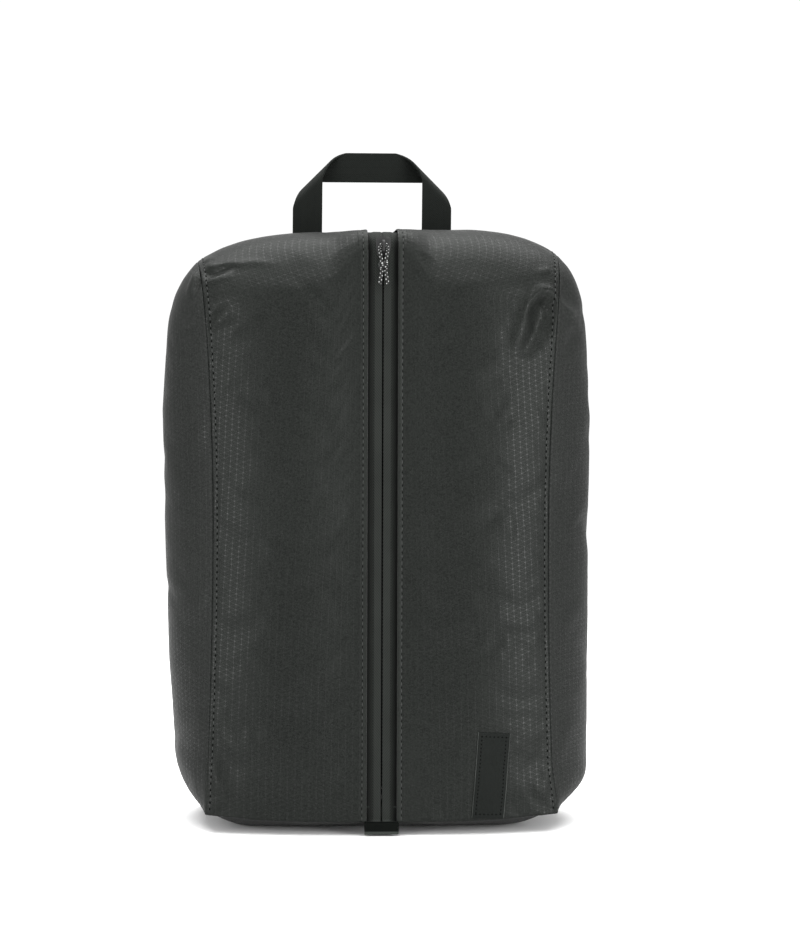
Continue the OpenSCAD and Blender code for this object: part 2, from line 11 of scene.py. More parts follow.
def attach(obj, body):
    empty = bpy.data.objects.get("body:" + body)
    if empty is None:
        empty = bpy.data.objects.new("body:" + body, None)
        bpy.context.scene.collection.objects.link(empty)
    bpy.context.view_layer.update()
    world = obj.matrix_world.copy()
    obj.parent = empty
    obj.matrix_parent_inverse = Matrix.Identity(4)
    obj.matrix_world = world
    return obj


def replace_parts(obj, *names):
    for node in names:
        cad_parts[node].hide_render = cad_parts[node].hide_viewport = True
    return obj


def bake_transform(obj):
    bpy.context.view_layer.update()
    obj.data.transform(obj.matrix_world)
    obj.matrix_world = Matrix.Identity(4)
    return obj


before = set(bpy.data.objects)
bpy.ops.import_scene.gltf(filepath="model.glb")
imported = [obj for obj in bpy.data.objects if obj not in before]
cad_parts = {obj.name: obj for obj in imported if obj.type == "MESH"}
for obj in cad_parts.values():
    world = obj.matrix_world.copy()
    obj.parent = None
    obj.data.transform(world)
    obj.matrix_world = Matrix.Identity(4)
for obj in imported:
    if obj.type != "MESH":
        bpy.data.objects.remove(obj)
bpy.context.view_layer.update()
MM = 0.001
hands = {"left": -1, "right": 1}

# Sizes of the bag in millimetres and degrees, which follow the part's source. zip_gap is wider here, because
# soft flaps lie further apart.
body_h, front_w, gusset_swell = 374, 211, 29
foot_flare, top_flare = 5, 10
base_d, top_back = 130, 54
front_crown, back_crown, front_swell, back_swell = 12, 10, 4, 6
gusset_foot_h, gusset_top_h = 58, 52
seam_rise, corner_rise = 9, 3
foot_w, foot_front, foot_back = 160, 20, 44
zip_lean, panel_lean, top_slope = 4.75, 4, 7
zip_fold_r, panel_fold_r, top_drop, zip_stand = 14, 40, 17, 2.5
zip_gap, tape_w, tape_depth, tape_dip, slot_x = 18.5, 15.5, 1.5, 1.7, 0.5
webbing_w, webbing_t, handle_span, handle_rise = 19, 1.4, 83, 47.5
corner_fold_r, corner_reach, handle_end_l, root_gap = 7, 3, 25, 0.4
tab_w, tab_t, tab_floor, tape_t = 21.5, 2.9, 1, 0.7
label_w, label_h, label_x, label_lean, label_t = 20.5, 54, 66.5, 4, 0.6
binding_w, binding_t, seam_edge, seam_gap = 9, 2, 1.5, 0.3
cord_d, bail_l, bail_t, eye_h, slider_past, run_gap = 2.2, 8, 1.2, 2.8, 3, 0.25

# Shares and powers that shape the panels. The cloth leaves the zip's fold a little nearer the zip than the
# plain solids do. swell_rate makes a panel's swell 1 at its peak, two thirds across.
crown_power, fall_power, base_power, swell_rate = 2.2, 3.6, 1.6, 27 / 4
gusset_power, gusset_flat, corner_power = 2.2, 0.15, 3
soft_from, soft_to, lean_to = 0.02, 0.27, 0.5

# Sewing: distances of the stitch lines from the edges, and the lengths of the stitches
flap_stitch, seam_stitch = 3.0, 2.8
flap_pitch, seam_pitch = 4.2, 4.0
roll_r, hem_r, hem_bend, hem_back = 0.4, 0.45, 1.4, 6
stitch_share, thread_d, hole_share, hole_flat = 0.62, 0.6, 1.5, 0.3
stitch_lift, hole_lift, row_end, label_lift = 0.05, 0.12, 2, 0.75

flap_x = zip_gap / 2
half_w = front_w / 2
body_half = half_w + gusset_swell
panel_w = half_w - flap_x
mid_h = body_h / 2
fold_end = 90 + top_slope


def sin(angle):
    return math.sin(math.radians(angle))


def cos(angle):
    return math.cos(math.radians(angle))


def tan(angle):
    return math.tan(math.radians(angle))


def mix(start, end, share):
    return start + (end - start) * share


def limit(value, low=0.0, high=1.0):
    return min(max(value, low), high)


def ease(low, high, value):
    share = limit((value - low) / (high - low))
    return share * share * (3 - 2 * share)


def spread(*stops):
    """Positions from (position, step) stops: each step is used up to the next position."""
    places = []
    for (start, step), (end, _) in zip(stops, stops[1:]):
        count = max(1, round((end - start) / step))
        places += [mix(start, end, i / count) for i in range(count)]
    return places + [stops[-1][0]]


def banded(low, high, border, fine, coarse):
    """Positions between two edges, with fine steps in a border along each edge."""
    return spread((low, fine), (low + border, coarse), (high - border, fine), (high, 1))


# Surfaces of the bag, in millimetres
def seam_x(z):
    return half_w + (foot_flare if z < mid_h else top_flare) * ((z - mid_h) / mid_h) ** 2


def across(x):
    return limit((abs(x) - flap_x) / panel_w)


flat_share = across(slot_x + tape_w + seam_gap)


def off_flat(share):
    return max(0.0, (share - flat_share) / (1 - flat_share))


def crown(share):
    return off_flat(share) ** crown_power


def off_zip(share):
    return ease(soft_from, soft_to, share)


def foot_y(share):
    return -base_d / 2 + front_crown * crown(share)


def foot_z(share):
    return seam_rise + corner_rise * crown(share)


def lean(share):
    return mix(zip_lean, panel_lean, ease(soft_from, lean_to, share))


def fold_r(share):
    return mix(zip_fold_r, panel_fold_r, off_zip(share))


def crest_z(share):
    return body_h + zip_stand * (1 - off_zip(share)) - top_drop * off_flat(share) ** fall_power


def fold_point(share, angle):
    middle_z = crest_z(share) - fold_r(share)
    middle_y = foot_y(share) + (middle_z - foot_z(share)) * tan(lean(share))
    middle_y += fold_r(share) / cos(lean(share))
    return np.array([middle_y - fold_r(share) * cos(angle), middle_z + fold_r(share) * sin(angle)])


def top_end(share):
    start = fold_point(share, fold_end)
    y = top_back - back_crown / 2 * crown(share)
    return np.array([y, start[1] - (y - start[0]) * tan(top_slope)])


def section(share, run):
    """Upright section of a front panel: run is 1 up the front, 2 past the fold and 3 at the top's end."""
    if run <= 1:
        foot = np.array([foot_y(share), foot_z(share)])
        swell = front_swell * swell_rate * share ** 2 * (1 - share) * sin(180 * run)
        return mix(foot, fold_point(share, lean(share)), run) - np.array([swell, 0])
    if run <= 2:
        return fold_point(share, mix(lean(share), fold_end, run - 1))
    return mix(fold_point(share, fold_end), top_end(share), run - 2)


def front_point(share, run):
    at = section(min(share, 1), run)
    return np.array([mix(flap_x, seam_x(section(1, run)[1]), share), *at])


def back_foot_y(share):
    return base_d / 2 - back_crown * crown(share)


def edge_share(side, z):
    """Share across a front panel, at a share of the way from the middle to the side seam at that height."""
    return limit((abs(side) * seam_x(z) - flap_x) / (seam_x(z) - flap_x))


def back_point(side, run):
    low_z, high_z = foot_z(1), top_end(1)[1]
    low_share, high_share = edge_share(side, low_z), edge_share(side, high_z)
    low = np.array([side * seam_x(low_z), back_foot_y(low_share), foot_z(low_share)])
    high = np.array([side * seam_x(high_z), *top_end(high_share)])
    straight = mix(low, high, run)
    bulge = back_swell * (1 - crown(abs(side))) * sin(180 * limit(run))
    return np.array([side * seam_x(straight[2]), straight[1] + bulge, straight[2]])


def base_point(side, deep):
    """Point of the base, from -1 to 1 across and 0 to 1 from the front seam to the back seam."""
    x = side * seam_x(foot_z(1))
    share = edge_share(side, foot_z(1))
    front, back = foot_y(share) + seam_gap, back_foot_y(share) - seam_gap
    y = mix(front, back, deep)
    beside = max(0.0, (abs(x) - foot_w / 2) / (seam_x(foot_z(1)) - foot_w / 2))
    before = max(0.0, (-foot_front - y) / (-foot_front - front), (y - foot_back) / (back - foot_back))
    rise = limit(math.hypot(beside, before))
    return np.array([x, y, (foot_z(share) - seam_gap) * rise ** base_power])


def even(curve, runs):
    """A curve's point by share of its length."""
    points = np.array([curve(run) for run in runs])
    steps = np.linalg.norm(np.diff(points, axis=0), axis=1)
    lengths = np.concatenate([[0], np.cumsum(steps)])
    return lambda share: np.array([np.interp(share * lengths[-1], lengths, points[:, k]) for k in range(3)])


seam_front = even(lambda run: front_point(1, run), np.linspace(0, 1.5, 60))
seam_top = even(lambda run: front_point(1, run), np.linspace(1.5, 3, 60))
seam_back = even(lambda run: back_point(1, run), np.linspace(0, 1, 40))
seam_base = even(lambda run: mix(front_point(1, 0), back_point(1, 0), run), [0, 0.5, 1])
spine_low, spine_high = foot_z(1) + gusset_foot_h, crest_z(1) - gusset_top_h


def gusset_point(deep, high, low=spine_low):
    """Point of the right gusset, from 0 to 1 from the front to the back and from the base to the top."""
    front, back, base, top = seam_front(high), seam_back(high), seam_base(deep), seam_top(deep)
    corners = mix(mix(seam_base(0), seam_base(1), deep), mix(seam_top(0), seam_top(1), deep), high)
    at = mix(front, back, deep) + mix(base, top, high) - corners
    beside = abs(2 * deep - 1)
    above = max(0.0, (at[2] - spine_high) / (top[2] - spine_high), (low - at[2]) / (low - base[2]))
    share = limit(1 - (1 - beside ** corner_power) * (1 - limit(above) ** corner_power)) ** (1 / corner_power)
    rise = limit((share - gusset_flat) / (1 - gusset_flat)) ** gusset_power
    return np.array([mix(body_half, at[0], rise), at[1], at[2]])


# Camera at the photograph's angle
photo_scale, photo_middle, photo_centre, photo_h = 0.633, (376.5, 823), (400, 475), 950
camera_azimuth, camera_elevation, camera_roll, camera_far = -5, 5.5, 0.6, 3.0
floor_half = 1.3


def place_camera():
    data = bpy.data.cameras.new("photo_camera")
    camera = bpy.data.objects.new("photo_camera", data)
    bpy.context.scene.collection.objects.link(camera)
    bpy.context.scene.camera = camera
    right = Vector((cos(camera_azimuth), sin(camera_azimuth), 0))
    back = Vector((sin(camera_azimuth) * cos(camera_elevation), -cos(camera_azimuth) * cos(camera_elevation),
                   sin(camera_elevation)))
    aim = right * (photo_centre[0] - photo_middle[0]) * photo_scale * MM
    aim.z = (photo_middle[1] - photo_centre[1]) * photo_scale * MM
    turn = (-back).to_track_quat("-Z", "Y").to_matrix() @ Matrix.Rotation(math.radians(camera_roll), 3, "Z")
    camera.matrix_world = Matrix.Translation(aim + back * camera_far) @ turn.to_4x4()
    data.sensor_width = 36
    data.lens = data.sensor_width * camera_far / (photo_h * photo_scale * MM)
    data.clip_end = 50


def lay_floor():
    shape = bmesh.new()
    bmesh.ops.create_grid(shape, x_segments=1, y_segments=1, size=floor_half)
    floor = finished("studio_floor", shape, floor_finish)


def hang_light(name, place, aim, size, power):
    data = bpy.data.lights.new(name, "AREA")
    data.shape = "RECTANGLE"
    data.size, data.size_y = size
    data.energy = power
    light = bpy.data.objects.new(name, data)
    bpy.context.scene.collection.objects.link(light)
    light.location = place
    light.rotation_euler = (Vector(aim) - Vector(place)).to_track_quat("-Z", "Y").to_euler()


# Shader maths
class Wire:
    """A shader socket that takes arithmetic."""

    def __init__(self, finish, socket):
        self.finish, self.socket = finish, socket

    def maths(self, operation, *terms):
        return self.finish.node("ShaderNodeMath", {"operation": operation}, dict(enumerate((self, *terms))))

    __add__ = __radd__ = partialmethod(maths, "ADD")
    __mul__ = __rmul__ = partialmethod(maths, "MULTIPLY")
    __sub__ = partialmethod(maths, "SUBTRACT")
    __truediv__ = partialmethod(maths, "DIVIDE")
    __abs__ = partialmethod(maths, "ABSOLUTE")
    part = partialmethod(maths, "FRACT")
    whole = partialmethod(maths, "FLOOR")
    wave = partialmethod(maths, "SINE")
    most = partialmethod(maths, "MAXIMUM")
    least = partialmethod(maths, "MINIMUM")

    def __rsub__(self, term):
        return self.finish.node("ShaderNodeMath", {"operation": "SUBTRACT"}, {0: term, 1: self})

    def other(self, index):
        return Wire(self.finish, self.socket.node.outputs[index])

    def near(self, width):
        """1 where the value is 0, falling to 0 at that width either side."""
        return (1 - abs(self) / width).most(0)


class Finish:
    """A material with its principled shader."""

    def __init__(self, name, **constants):
        self.material = bpy.data.materials.new(name)
        self.material.use_nodes = True
        self.tree = self.material.node_tree
        self.shader = self.tree.nodes["Principled BSDF"]
        self.paint(**constants)

    def feed(self, socket, value):
        if isinstance(value, Wire):
            self.tree.links.new(value.socket, socket)
        else:
            socket.default_value = value

    def node(self, kind, settings=None, inputs=None, output=0):
        made = self.tree.nodes.new(kind)
        for key, value in (settings or {}).items():
            setattr(made, key, value)
        for key, value in (inputs or {}).items():
            self.feed(made.inputs[key], value)
        return Wire(self, made.outputs[output])

    def weave(self):
        """The piece's own weave coordinates in millimetres."""
        weave = self.node("ShaderNodeUVMap", {"uv_map": "weave"})
        spot = self.node("ShaderNodeSeparateXYZ", None, {0: weave})
        return spot * 1000, spot.other(1) * 1000

    def attribute(self, name):
        return self.node("ShaderNodeAttribute", {"attribute_name": name}, None, 2)

    def noise(self, scale, detail):
        place = self.node("ShaderNodeTexCoord", None, None, 3)
        return self.node("ShaderNodeTexNoise", None, {"Vector": place, "Scale": scale, "Detail": detail})

    def tint(self, share, first, second):
        return self.node("ShaderNodeMix", {"data_type": "RGBA"}, {0: share, 6: first, 7: second}, 2)

    def relief(self, height, depth):
        """Bump from a height of 0 to 1, that deep in millimetres."""
        inputs = {"Strength": 1.0, "Distance": depth * MM, "Height": height}
        self.feed(self.shader.inputs["Normal"], self.node("ShaderNodeBump", None, inputs))

    def paint(self, **sockets):
        for socket, value in sockets.items():
            self.feed(self.shader.inputs[socket.replace("_", " ")], value)


# Materials. The photograph has a slight green cast, and every cloth shares it.
cast = (0.957, 1, 0.957, 1)
# Painted highlight colour for the thin line along the label's raised side edges
label_edge_highlight_colour = (0.07, 0.075, 0.07, 1)
rim_colour, shaded_colour = (0.03, 0.034, 0.031, 1), (0.0002, 0.0003, 0.0002, 1)


def shell_fabric(name, shine, dull, hush, dark, light):
    """Coated ripstop: a fine weave with glossy upright threads, a thin diagonal net and a knot at crossings.
    The threads are darker than the cloth by hush and shine more, so they show where light glances off."""
    finish = Finish(name, Specular_IOR_Level=shine, Specular_Tint=cast, Coat_Roughness=0.26)
    u, v = finish.weave()
    column, row, pitch = 4.5, 3.3, 0.35
    net_w, thread_w, knot_w, knot_reach = 0.07, 0.085, 0.16, 0.36
    rising, falling = u / (2 * column) + v / row, u / (2 * column) - v / row
    first, second = abs((rising + 0.5).part() - 0.5), abs((falling + 0.5).part() - 0.5)
    upright = (u / column + 0.5).part() - 0.5
    net = first.near(net_w).most(second.near(net_w))
    thread = upright.near(thread_w) * (finish.noise(140, 2) * 1.5).least(1)
    knot = upright.near(knot_w) * (first + second).near(knot_reach)
    fine = ((u * (math.pi / pitch)).wave() * (v * (math.pi / pitch)).wave()) * 0.5 + 0.5
    cloud, speck = finish.noise(9, 3), finish.noise(900, 3)
    # Lighter strip on the flaps' rolled hems, between edge and stitch line: painted highlight
    hem = finish.attribute("hem_highlight")
    raised = (knot + thread * 0.6 + net * 0.5).least(1)
    grain = ((speck - 0.5) * 2.8 + 0.5).most(0).least(1)
    shade = (grain * 0.6 + cloud * 0.4 + hem * 0.35) * (1 - raised * hush)
    finish.paint(Base_Color=finish.tint(shade, dark, light),
                 Roughness=dull + grain * 0.08, Coat_Weight=raised * 0.29)
    finish.relief(raised * 0.5 + fine * 0.12 + grain * 0.22, 0.16)
    return finish.material


def ribbed_tape(name, dark, light, rib, depth, shine=0.12, edge=None):
    """Close herringbone tape. Its colour is lighter on the rib tops and darker in the grooves and at the
    chevron
    turns: painted shading of the ribs. edge is the half width where a thin pale line is painted along each
    side edge, a painted highlight on the raised edges. A piece can mark spots as rim, where a cut or folded
    end is paler, or as shaded, with painted shade deep under a flap."""
    finish = Finish(name, Specular_IOR_Level=shine, Specular_Tint=cast)
    u, v = finish.weave()
    slant = abs((u / (6 * rib)).part() - 0.5) * 7.5
    ridge = (((v / rib + slant) * (2 * math.pi)).wave()) * 0.5 + 0.5
    turn = ((u / (3 * rib) + 0.5).part() - 0.5).near(0.05)
    cloud = finish.noise(60, 3)
    # Lighter on the rib tops, darker in the grooves and at the chevron turns (painted shading of the ribs),
    # over random cloudy tone
    shade = (ridge * 0.75 + cloud * 0.35 - turn * 0.3).most(0).least(1)
    colour = finish.tint(shade, dark, light)
    if edge:
        # A thin pale line along the label's side edges: painted highlight on its raised edges
        colour = finish.tint((abs(u) - edge).near(0.35) * cloud, colour, label_edge_highlight_colour)
    colour = finish.tint(finish.attribute("rim"), colour, rim_colour)
    colour = finish.tint(finish.attribute("shaded"), colour, shaded_colour)
    finish.paint(Base_Color=colour, Roughness=0.8 - ridge * 0.12)
    finish.relief(ridge * 0.7 - turn * 0.5 + cloud * 0.2, depth)
    return finish.material


def braided_cord():
    """Round braid with rows of pale flecks."""
    finish = Finish("braided_cord", Specular_IOR_Level=0.3)
    u, v = finish.weave()
    strand, round_step, along_step = 0.85, math.pi * cord_d / 4, 2.3
    one = (u + v) / strand
    two = (u - v) / strand
    body = (one.part() - 0.5).near(0.5).most((two.part() - 0.5).near(0.5))
    column, line = u / round_step, v / along_step
    shifted = line + column.whole() * 0.5
    fleck = (column.part() - 0.5).near(0.42) * (shifted.part() - 0.5).near(0.23)
    fleck = ((fleck - 0.22) * 5).most(0).least(1)
    finish.paint(Base_Color=finish.tint(fleck, (0.005, 0.0055, 0.005, 1), (0.38, 0.39, 0.38, 1)),
                 Roughness=0.65 - fleck * 0.2)
    finish.relief(body, 0.2)
    return finish.material


def painted_metal():
    finish = Finish("painted_metal", Specular_IOR_Level=0.28, Coat_Roughness=0.25)
    grain = finish.noise(700, 3)
    wear = finish.noise(160, 4)
    worn = ((wear - 0.62) * 8).most(0).least(1)
    finish.paint(Base_Color=finish.tint(worn, (0.004, 0.0043, 0.004, 1), (0.02, 0.021, 0.02, 1)),
                 Roughness=0.46 + grain * 0.16, Coat_Weight=0.07 - worn * 0.06)
    finish.relief(grain, 0.02)
    return finish.material


def speckled(name, shine, scale, detail, dark, light, rough, rougher=0.0, depth=0.0):
    """Plain stuff with specks, which can change its roughness and stand up from it."""
    finish = Finish(name, Specular_IOR_Level=shine)
    speck = finish.noise(scale, detail)
    finish.paint(Base_Color=finish.tint(speck, dark, light), Roughness=rough)
    if rougher:
        finish.paint(Roughness=speck * rougher + rough)
    if depth:
        finish.relief(speck, depth)
    return finish.material


shell_finish = shell_fabric("shell_fabric", 0.117, 0.42, 0.95,
                            (0.0004, 0.0006, 0.0004, 1), (0.0092, 0.0104, 0.0092, 1))
# The gussets are the same cloth as the front, with less shine. Their paler colour is painted light, which
# makes up the brightness that shine and side light would give.
gusset_sheen_finish = shell_fabric("gusset_fabric", 0.065, 0.5, 0.3,
                             (0.0055, 0.0059, 0.0055, 1), (0.0172, 0.0183, 0.0172, 1))
tape_finish = ribbed_tape("zip_tape", (0.0002, 0.0003, 0.0002, 1), (0.018, 0.02, 0.018, 1), 1.8, 0.26)
webbing_finish = ribbed_tape("webbing", (0.0011, 0.0016, 0.0012, 1), (0.0052, 0.0061, 0.0053, 1), 1.5, 0.14)
tab_finish = ribbed_tape("tab_webbing", (0.0006, 0.0009, 0.0007, 1), (0.003, 0.0036, 0.0031, 1), 1.5, 0.1,
                         shine=0.04)
binding_finish = ribbed_tape("binding", (0.006, 0.007, 0.0063, 1), (0.02, 0.022, 0.0205, 1), 1.5, 0.14)
label_finish = ribbed_tape("woven_label", (0.002, 0.0024, 0.0021, 1), (0.007, 0.008, 0.0073, 1), 0.8, 0.08,
                           shine=0.1, edge=label_w / 2)
cord_finish = braided_cord()
metal_finish = painted_metal()
coil_finish = speckled("coil_nylon", 0.45, 400, 3, (0.009, 0.009, 0.009, 1), (0.02, 0.02, 0.02, 1),
                       0.36, 0.15, 0.03)
thread_finish = speckled("sewing_thread", 0.3, 2500, 2, (0.008, 0.0092, 0.0083, 1), (0.028, 0.03, 0.028, 1),
                         0.7, -0.2, 0.06)
# Near-black capsules set at needle holes and along the label's stitch lines: painted shadow
hole_shadow_finish = speckled("needle_shadow", 0.02, 900, 2, (0.0008, 0.0009, 0.0008, 1), (0.004, 0.0044, 0.004, 1),
                       1.0)
floor_finish = speckled("studio_floor", 0.0, 3, 2, (0.88, 0.88, 0.88, 1), (0.9, 0.9, 0.9, 1), 0.9)


# Making pieces
def finished(name, shape, material, smooth=True):
    mesh = bpy.data.meshes.new(name)
    shape.to_mesh(mesh)
    shape.free()
    mesh.materials.append(material)
    mesh.polygons.foreach_set("use_smooth", [smooth] * len(mesh.polygons))
    piece = bpy.data.objects.new(name, mesh)
    bpy.context.scene.collection.objects.link(piece)
    return piece


def outward(points):
    """Normals of a grid of points, rows first."""
    normals = np.cross(np.gradient(points, axis=1), np.gradient(points, axis=0))
    return normals / np.maximum(np.linalg.norm(normals, axis=2, keepdims=True), 1e-9)


def laid(columns, rows, place):
    """Grid of points in millimetres, rows first."""
    return np.array([[place(column, row) for column in columns] for row in rows], float)


def sunk(columns, rows, points, sink, side=1, tuck=None, lift=0.0):
    """The grid pressed in along its normals, its columns below 0 turned under. side is -1 on the left."""
    normals = outward(points) * side
    if tuck:
        first = int(np.searchsorted(columns, 0))
        normals[:, :first + 1] = normals[:, first + 1:first + 2]
    depths = np.array([[sink(column, row) for column in columns] for row in rows])
    points = points + normals * (lift - depths)[:, :, None]
    if tuck:
        for i, column in enumerate(columns):
            points[:, i] += tuck(column, normals[:, i], side)
    return points


class Sheet:
    """A woven sheet on a grid of columns and rows of points in millimetres."""

    def __init__(self, name, material, columns, rows, points, mirrored=False, weave_from=0.0):
        self.name, self.columns, self.rows = name, np.array(columns, float), np.array(rows, float)
        self.up = np.cumsum(np.linalg.norm(np.diff(points, axis=0), axis=2), axis=0)
        self.up = np.concatenate([np.zeros((1, len(columns))), self.up], axis=0)
        self.kept, self.mirrored = points, mirrored
        shape = bmesh.new()
        wide, long = len(columns) - 1, len(rows) - 1
        bmesh.ops.create_grid(shape, x_segments=wide, y_segments=long, size=0.5)
        shape.verts.ensure_lookup_table()
        spots = [(round((v.co.y + 0.5) * long), round((v.co.x + 0.5) * wide)) for v in shape.verts]
        self.order = np.zeros((long + 1, wide + 1), int)
        for vert, spot in zip(shape.verts, spots):
            vert.co = Vector(points[spot]) * MM
            self.order[spot] = vert.index
        self.lay_weave(shape, spots, points, weave_from)
        if mirrored:
            bmesh.ops.reverse_faces(shape, faces=shape.faces[:])
        self.piece = finished(name, shape, material)

    def lay_weave(self, shape, spots, points, weave_from):
        over = np.cumsum(np.linalg.norm(np.diff(points, axis=1), axis=2), axis=1)
        over = np.concatenate([np.zeros((len(points), 1)), over], axis=1)
        start = [np.interp(weave_from, self.columns, row) for row in over]
        layer = shape.loops.layers.uv.new("weave")
        for face in shape.faces:
            for loop in face.loops:
                row, column = spots[loop.vert.index]
                loop[layer].uv = ((over[row, column] - start[row]) * MM, self.up[row, column] * MM)

    def mark(self, name, value):
        """A number at each spot, kept as an attribute of the mesh."""
        layer = self.piece.data.attributes.new(name, "FLOAT", "POINT")
        numbers = np.zeros(len(self.piece.data.vertices), np.float32)
        for (row, column), index in np.ndenumerate(self.order):
            numbers[index] = value(self.columns[column], self.rows[row])
        layer.data.foreach_set("value", numbers)

    def rows_at(self, column, lengths):
        """Rows at those lengths along a column, as woven."""
        nearest = int(np.argmin(abs(self.columns - column)))
        return np.interp(lengths, self.up[:, nearest], self.rows)

    def length(self, column):
        return self.up[-1, int(np.argmin(abs(self.columns - column)))]

    def on(self, column, row):
        """Point and outward normal of the sheet at a spot between its grid lines."""
        grid = self.kept
        i = np.interp(column, self.columns, range(len(self.columns)))
        j = np.interp(row, self.rows, range(len(self.rows)))
        a, b = min(int(i), len(self.columns) - 2), min(int(j), len(self.rows) - 2)
        s, t = i - a, j - b
        low, high = mix(grid[b, a], grid[b, a + 1], s), mix(grid[b + 1, a], grid[b + 1, a + 1], s)
        normal = np.cross(grid[b, a + 1] - grid[b, a], grid[b + 1, a] - grid[b, a])
        normal *= (-1 if self.mirrored else 1) / np.linalg.norm(normal)
        return mix(low, high, t), normal

    def thicken(self, thickness, offset=-1.0, smoother=1):
        solid = self.piece.modifiers.new("thickness", "SOLIDIFY")
        solid.thickness, solid.offset, solid.use_even_offset = thickness * MM, offset, True
        if smoother:
            rounder = self.piece.modifiers.new("smoothing", "SUBSURF")
            rounder.levels = rounder.render_levels = smoother
        return self


# Rough sizes of the panels, which turn a share into a distance from a seam
front_run, top_run, side_run, back_run, across_half, deep_run = 350, 70, 340, 350, 105, 125
stitch_dent, stitch_reach, hem_puff = 0.35, 0.7, 0.18


def lipped(distance):
    """How far a panel's edge turns in at that distance from its seam."""
    near = limit(roll_r - distance, 0, roll_r)
    return roll_r - math.sqrt(roll_r ** 2 - near ** 2)


def lips(*distances):
    return sum(lipped(distance) for distance in distances)


def pressed(distance, line):
    """How deep a stitch line pulls the cloth in at that distance from an edge."""
    return stitch_dent * math.exp(-((distance - line) / stitch_reach) ** 2)


def front_place(column, row):
    """Spot of a front panel: column in millimetres from the flap's edge, below 0 in the hem under it."""
    return front_point(max(column, 0) / panel_w, row)


def front_sink(column, row):
    edge = max(column, 0)
    from_seam = panel_w - edge
    sink = lips(from_seam, front_run * row, top_run * (3 - row))
    sink = sink + pressed(edge, flap_stitch) + pressed(from_seam, seam_stitch)
    return sink - hem_puff * ease(4, 1, abs(edge - 1))


def front_tuck(column, normals, side):
    turn = limit(-column / hem_r, 0, math.pi)
    under = max(0, -column - math.pi * hem_r)
    over = hem_r * (1 - math.sin(turn)) * ease(3, 0, max(column, 0)) + under
    return np.array([side * over, 0, 0]) - normals * hem_r * (1 - math.cos(turn))


def gusset_sink(deep, high):
    return lips(deep_run * deep, deep_run * (1 - deep), side_run * high, side_run * (1 - high))


def back_place(side, run):
    return back_point(-side, run)


def back_sink(side, run):
    return lips(across_half * (1 - abs(side)), back_run * run, back_run * (1 - run))


def base_place(side, deep):
    return base_point(side, 1 - deep)


def base_sink(side, deep):
    return lips(across_half * (1 - abs(side)), deep_run * deep, deep_run * (1 - deep))


# Line of the zip: depth is measured in from the face of the flaps
zip_bend = fold_end - zip_lean
front_l = float(np.linalg.norm(fold_point(0, zip_lean) - np.array([foot_y(0), foot_z(0)])))
fold_l = zip_fold_r * math.radians(zip_bend)
top_l = float(np.linalg.norm(top_end(0) - fold_point(0, fold_end))) - seam_edge
eye_y, eye_z = 0.05 - eye_h / 2, front_l + slider_past + bail_l / 2 - bail_t - cord_d / 2 - run_gap


def on_front(x, y, z):
    """A point in the zip's frame, whose z runs up the front from the base seam."""
    return np.array([x, foot_y(0) + y * cos(zip_lean) + z * sin(zip_lean),
                     foot_z(0) - y * sin(zip_lean) + z * cos(zip_lean)])


def along_zip(x, depth, along):
    if along <= front_l:
        return on_front(x, depth, along)
    turn = min((along - front_l) / fold_l, 1) * zip_bend
    past = max(0, along - front_l - fold_l)
    reach = zip_fold_r - depth
    y = zip_fold_r - reach * cos(turn) + past * sin(turn)
    return on_front(x, y, front_l + reach * sin(turn) + past * cos(turn))


# Places across a tape: its edge at the chain, the end of that edge's rounding, its shoulder and its low part
tape_edge, tape_round, tape_shoulder, tape_low = 0.3, 0.8, 4.8, 7.2
edge_drop, edges_meet, draw_in, dip_lost = 0.3, 0.36, 0.4, 0.8
run_end, draw_from, draw_to = (front_l + 10, front_l + 12), front_l - 60, front_l - 25


def tape_place(x, along):
    """The tape is rounded over the coil, and lies lower beside it. Past the slider's run the two tapes meet.
    Under the flaps at the fold it draws in, to stay behind them."""
    x -= edges_meet * ease(tape_round, tape_edge, x) * ease(*run_end, along)
    x -= draw_in * max(0, x - tape_low) * ease(draw_from, draw_to, along)
    dip = tape_dip * (1 - dip_lost * ease(front_l, front_l + fold_l / 2, along))
    depth = tape_depth + dip * ease(tape_shoulder, tape_low, x) + edge_drop * ease(tape_round, tape_edge, x)
    return along_zip(x, depth, along)


# Line of the handle's webbing, wrapped round two slanting corners
leg_end = top_end(across(handle_span / 2))
root_y, root_z = leg_end[0] + webbing_t / 2 + root_gap, leg_end[1] + root_gap
turn_l, slant = math.pi * corner_fold_r, math.sqrt(2)
leg_l = body_h + handle_rise - webbing_w / 2 - root_z - turn_l / slant
bar_half_l = handle_span / 2 - turn_l / slant
strap_l = 2 * (leg_l + turn_l * slant + bar_half_l)


def strap_half(along, aside):
    """Half of the handle, from its left root to the middle of its bar."""
    reach, shift = (along - leg_l - aside) / slant, (along - leg_l + aside) / slant
    turn = limit(reach / corner_fold_r, 0, math.pi)
    past = reach - limit(reach, 0, turn_l)
    out = corner_reach * math.sin(turn) + past * math.cos(turn)
    x = (shift - out) / slant - handle_span / 2
    y = root_y + corner_fold_r * (1 - math.cos(turn))
    return np.array([x, y, root_z + leg_l + (shift + out) / slant])


def strap_place(aside, along):
    """The webbing runs from one end inside the bag, through the back seam, round the handle and back in."""
    if along < 0 or along > strap_l:
        inside = -along if along < 0 else along - strap_l
        side = -1 if along < 0 else 1
        y = mix(root_y, leg_end[0] - seam_edge - webbing_t, ease(0, 6, inside))
        return np.array([side * (handle_span / 2 - aside), y, root_z - inside])
    if along <= strap_l / 2:
        return strap_half(along, aside)
    return strap_half(strap_l - along, aside) * np.array([-1, 1, 1])


tab_layer, tab_webbing_t = 0.8, 1.2


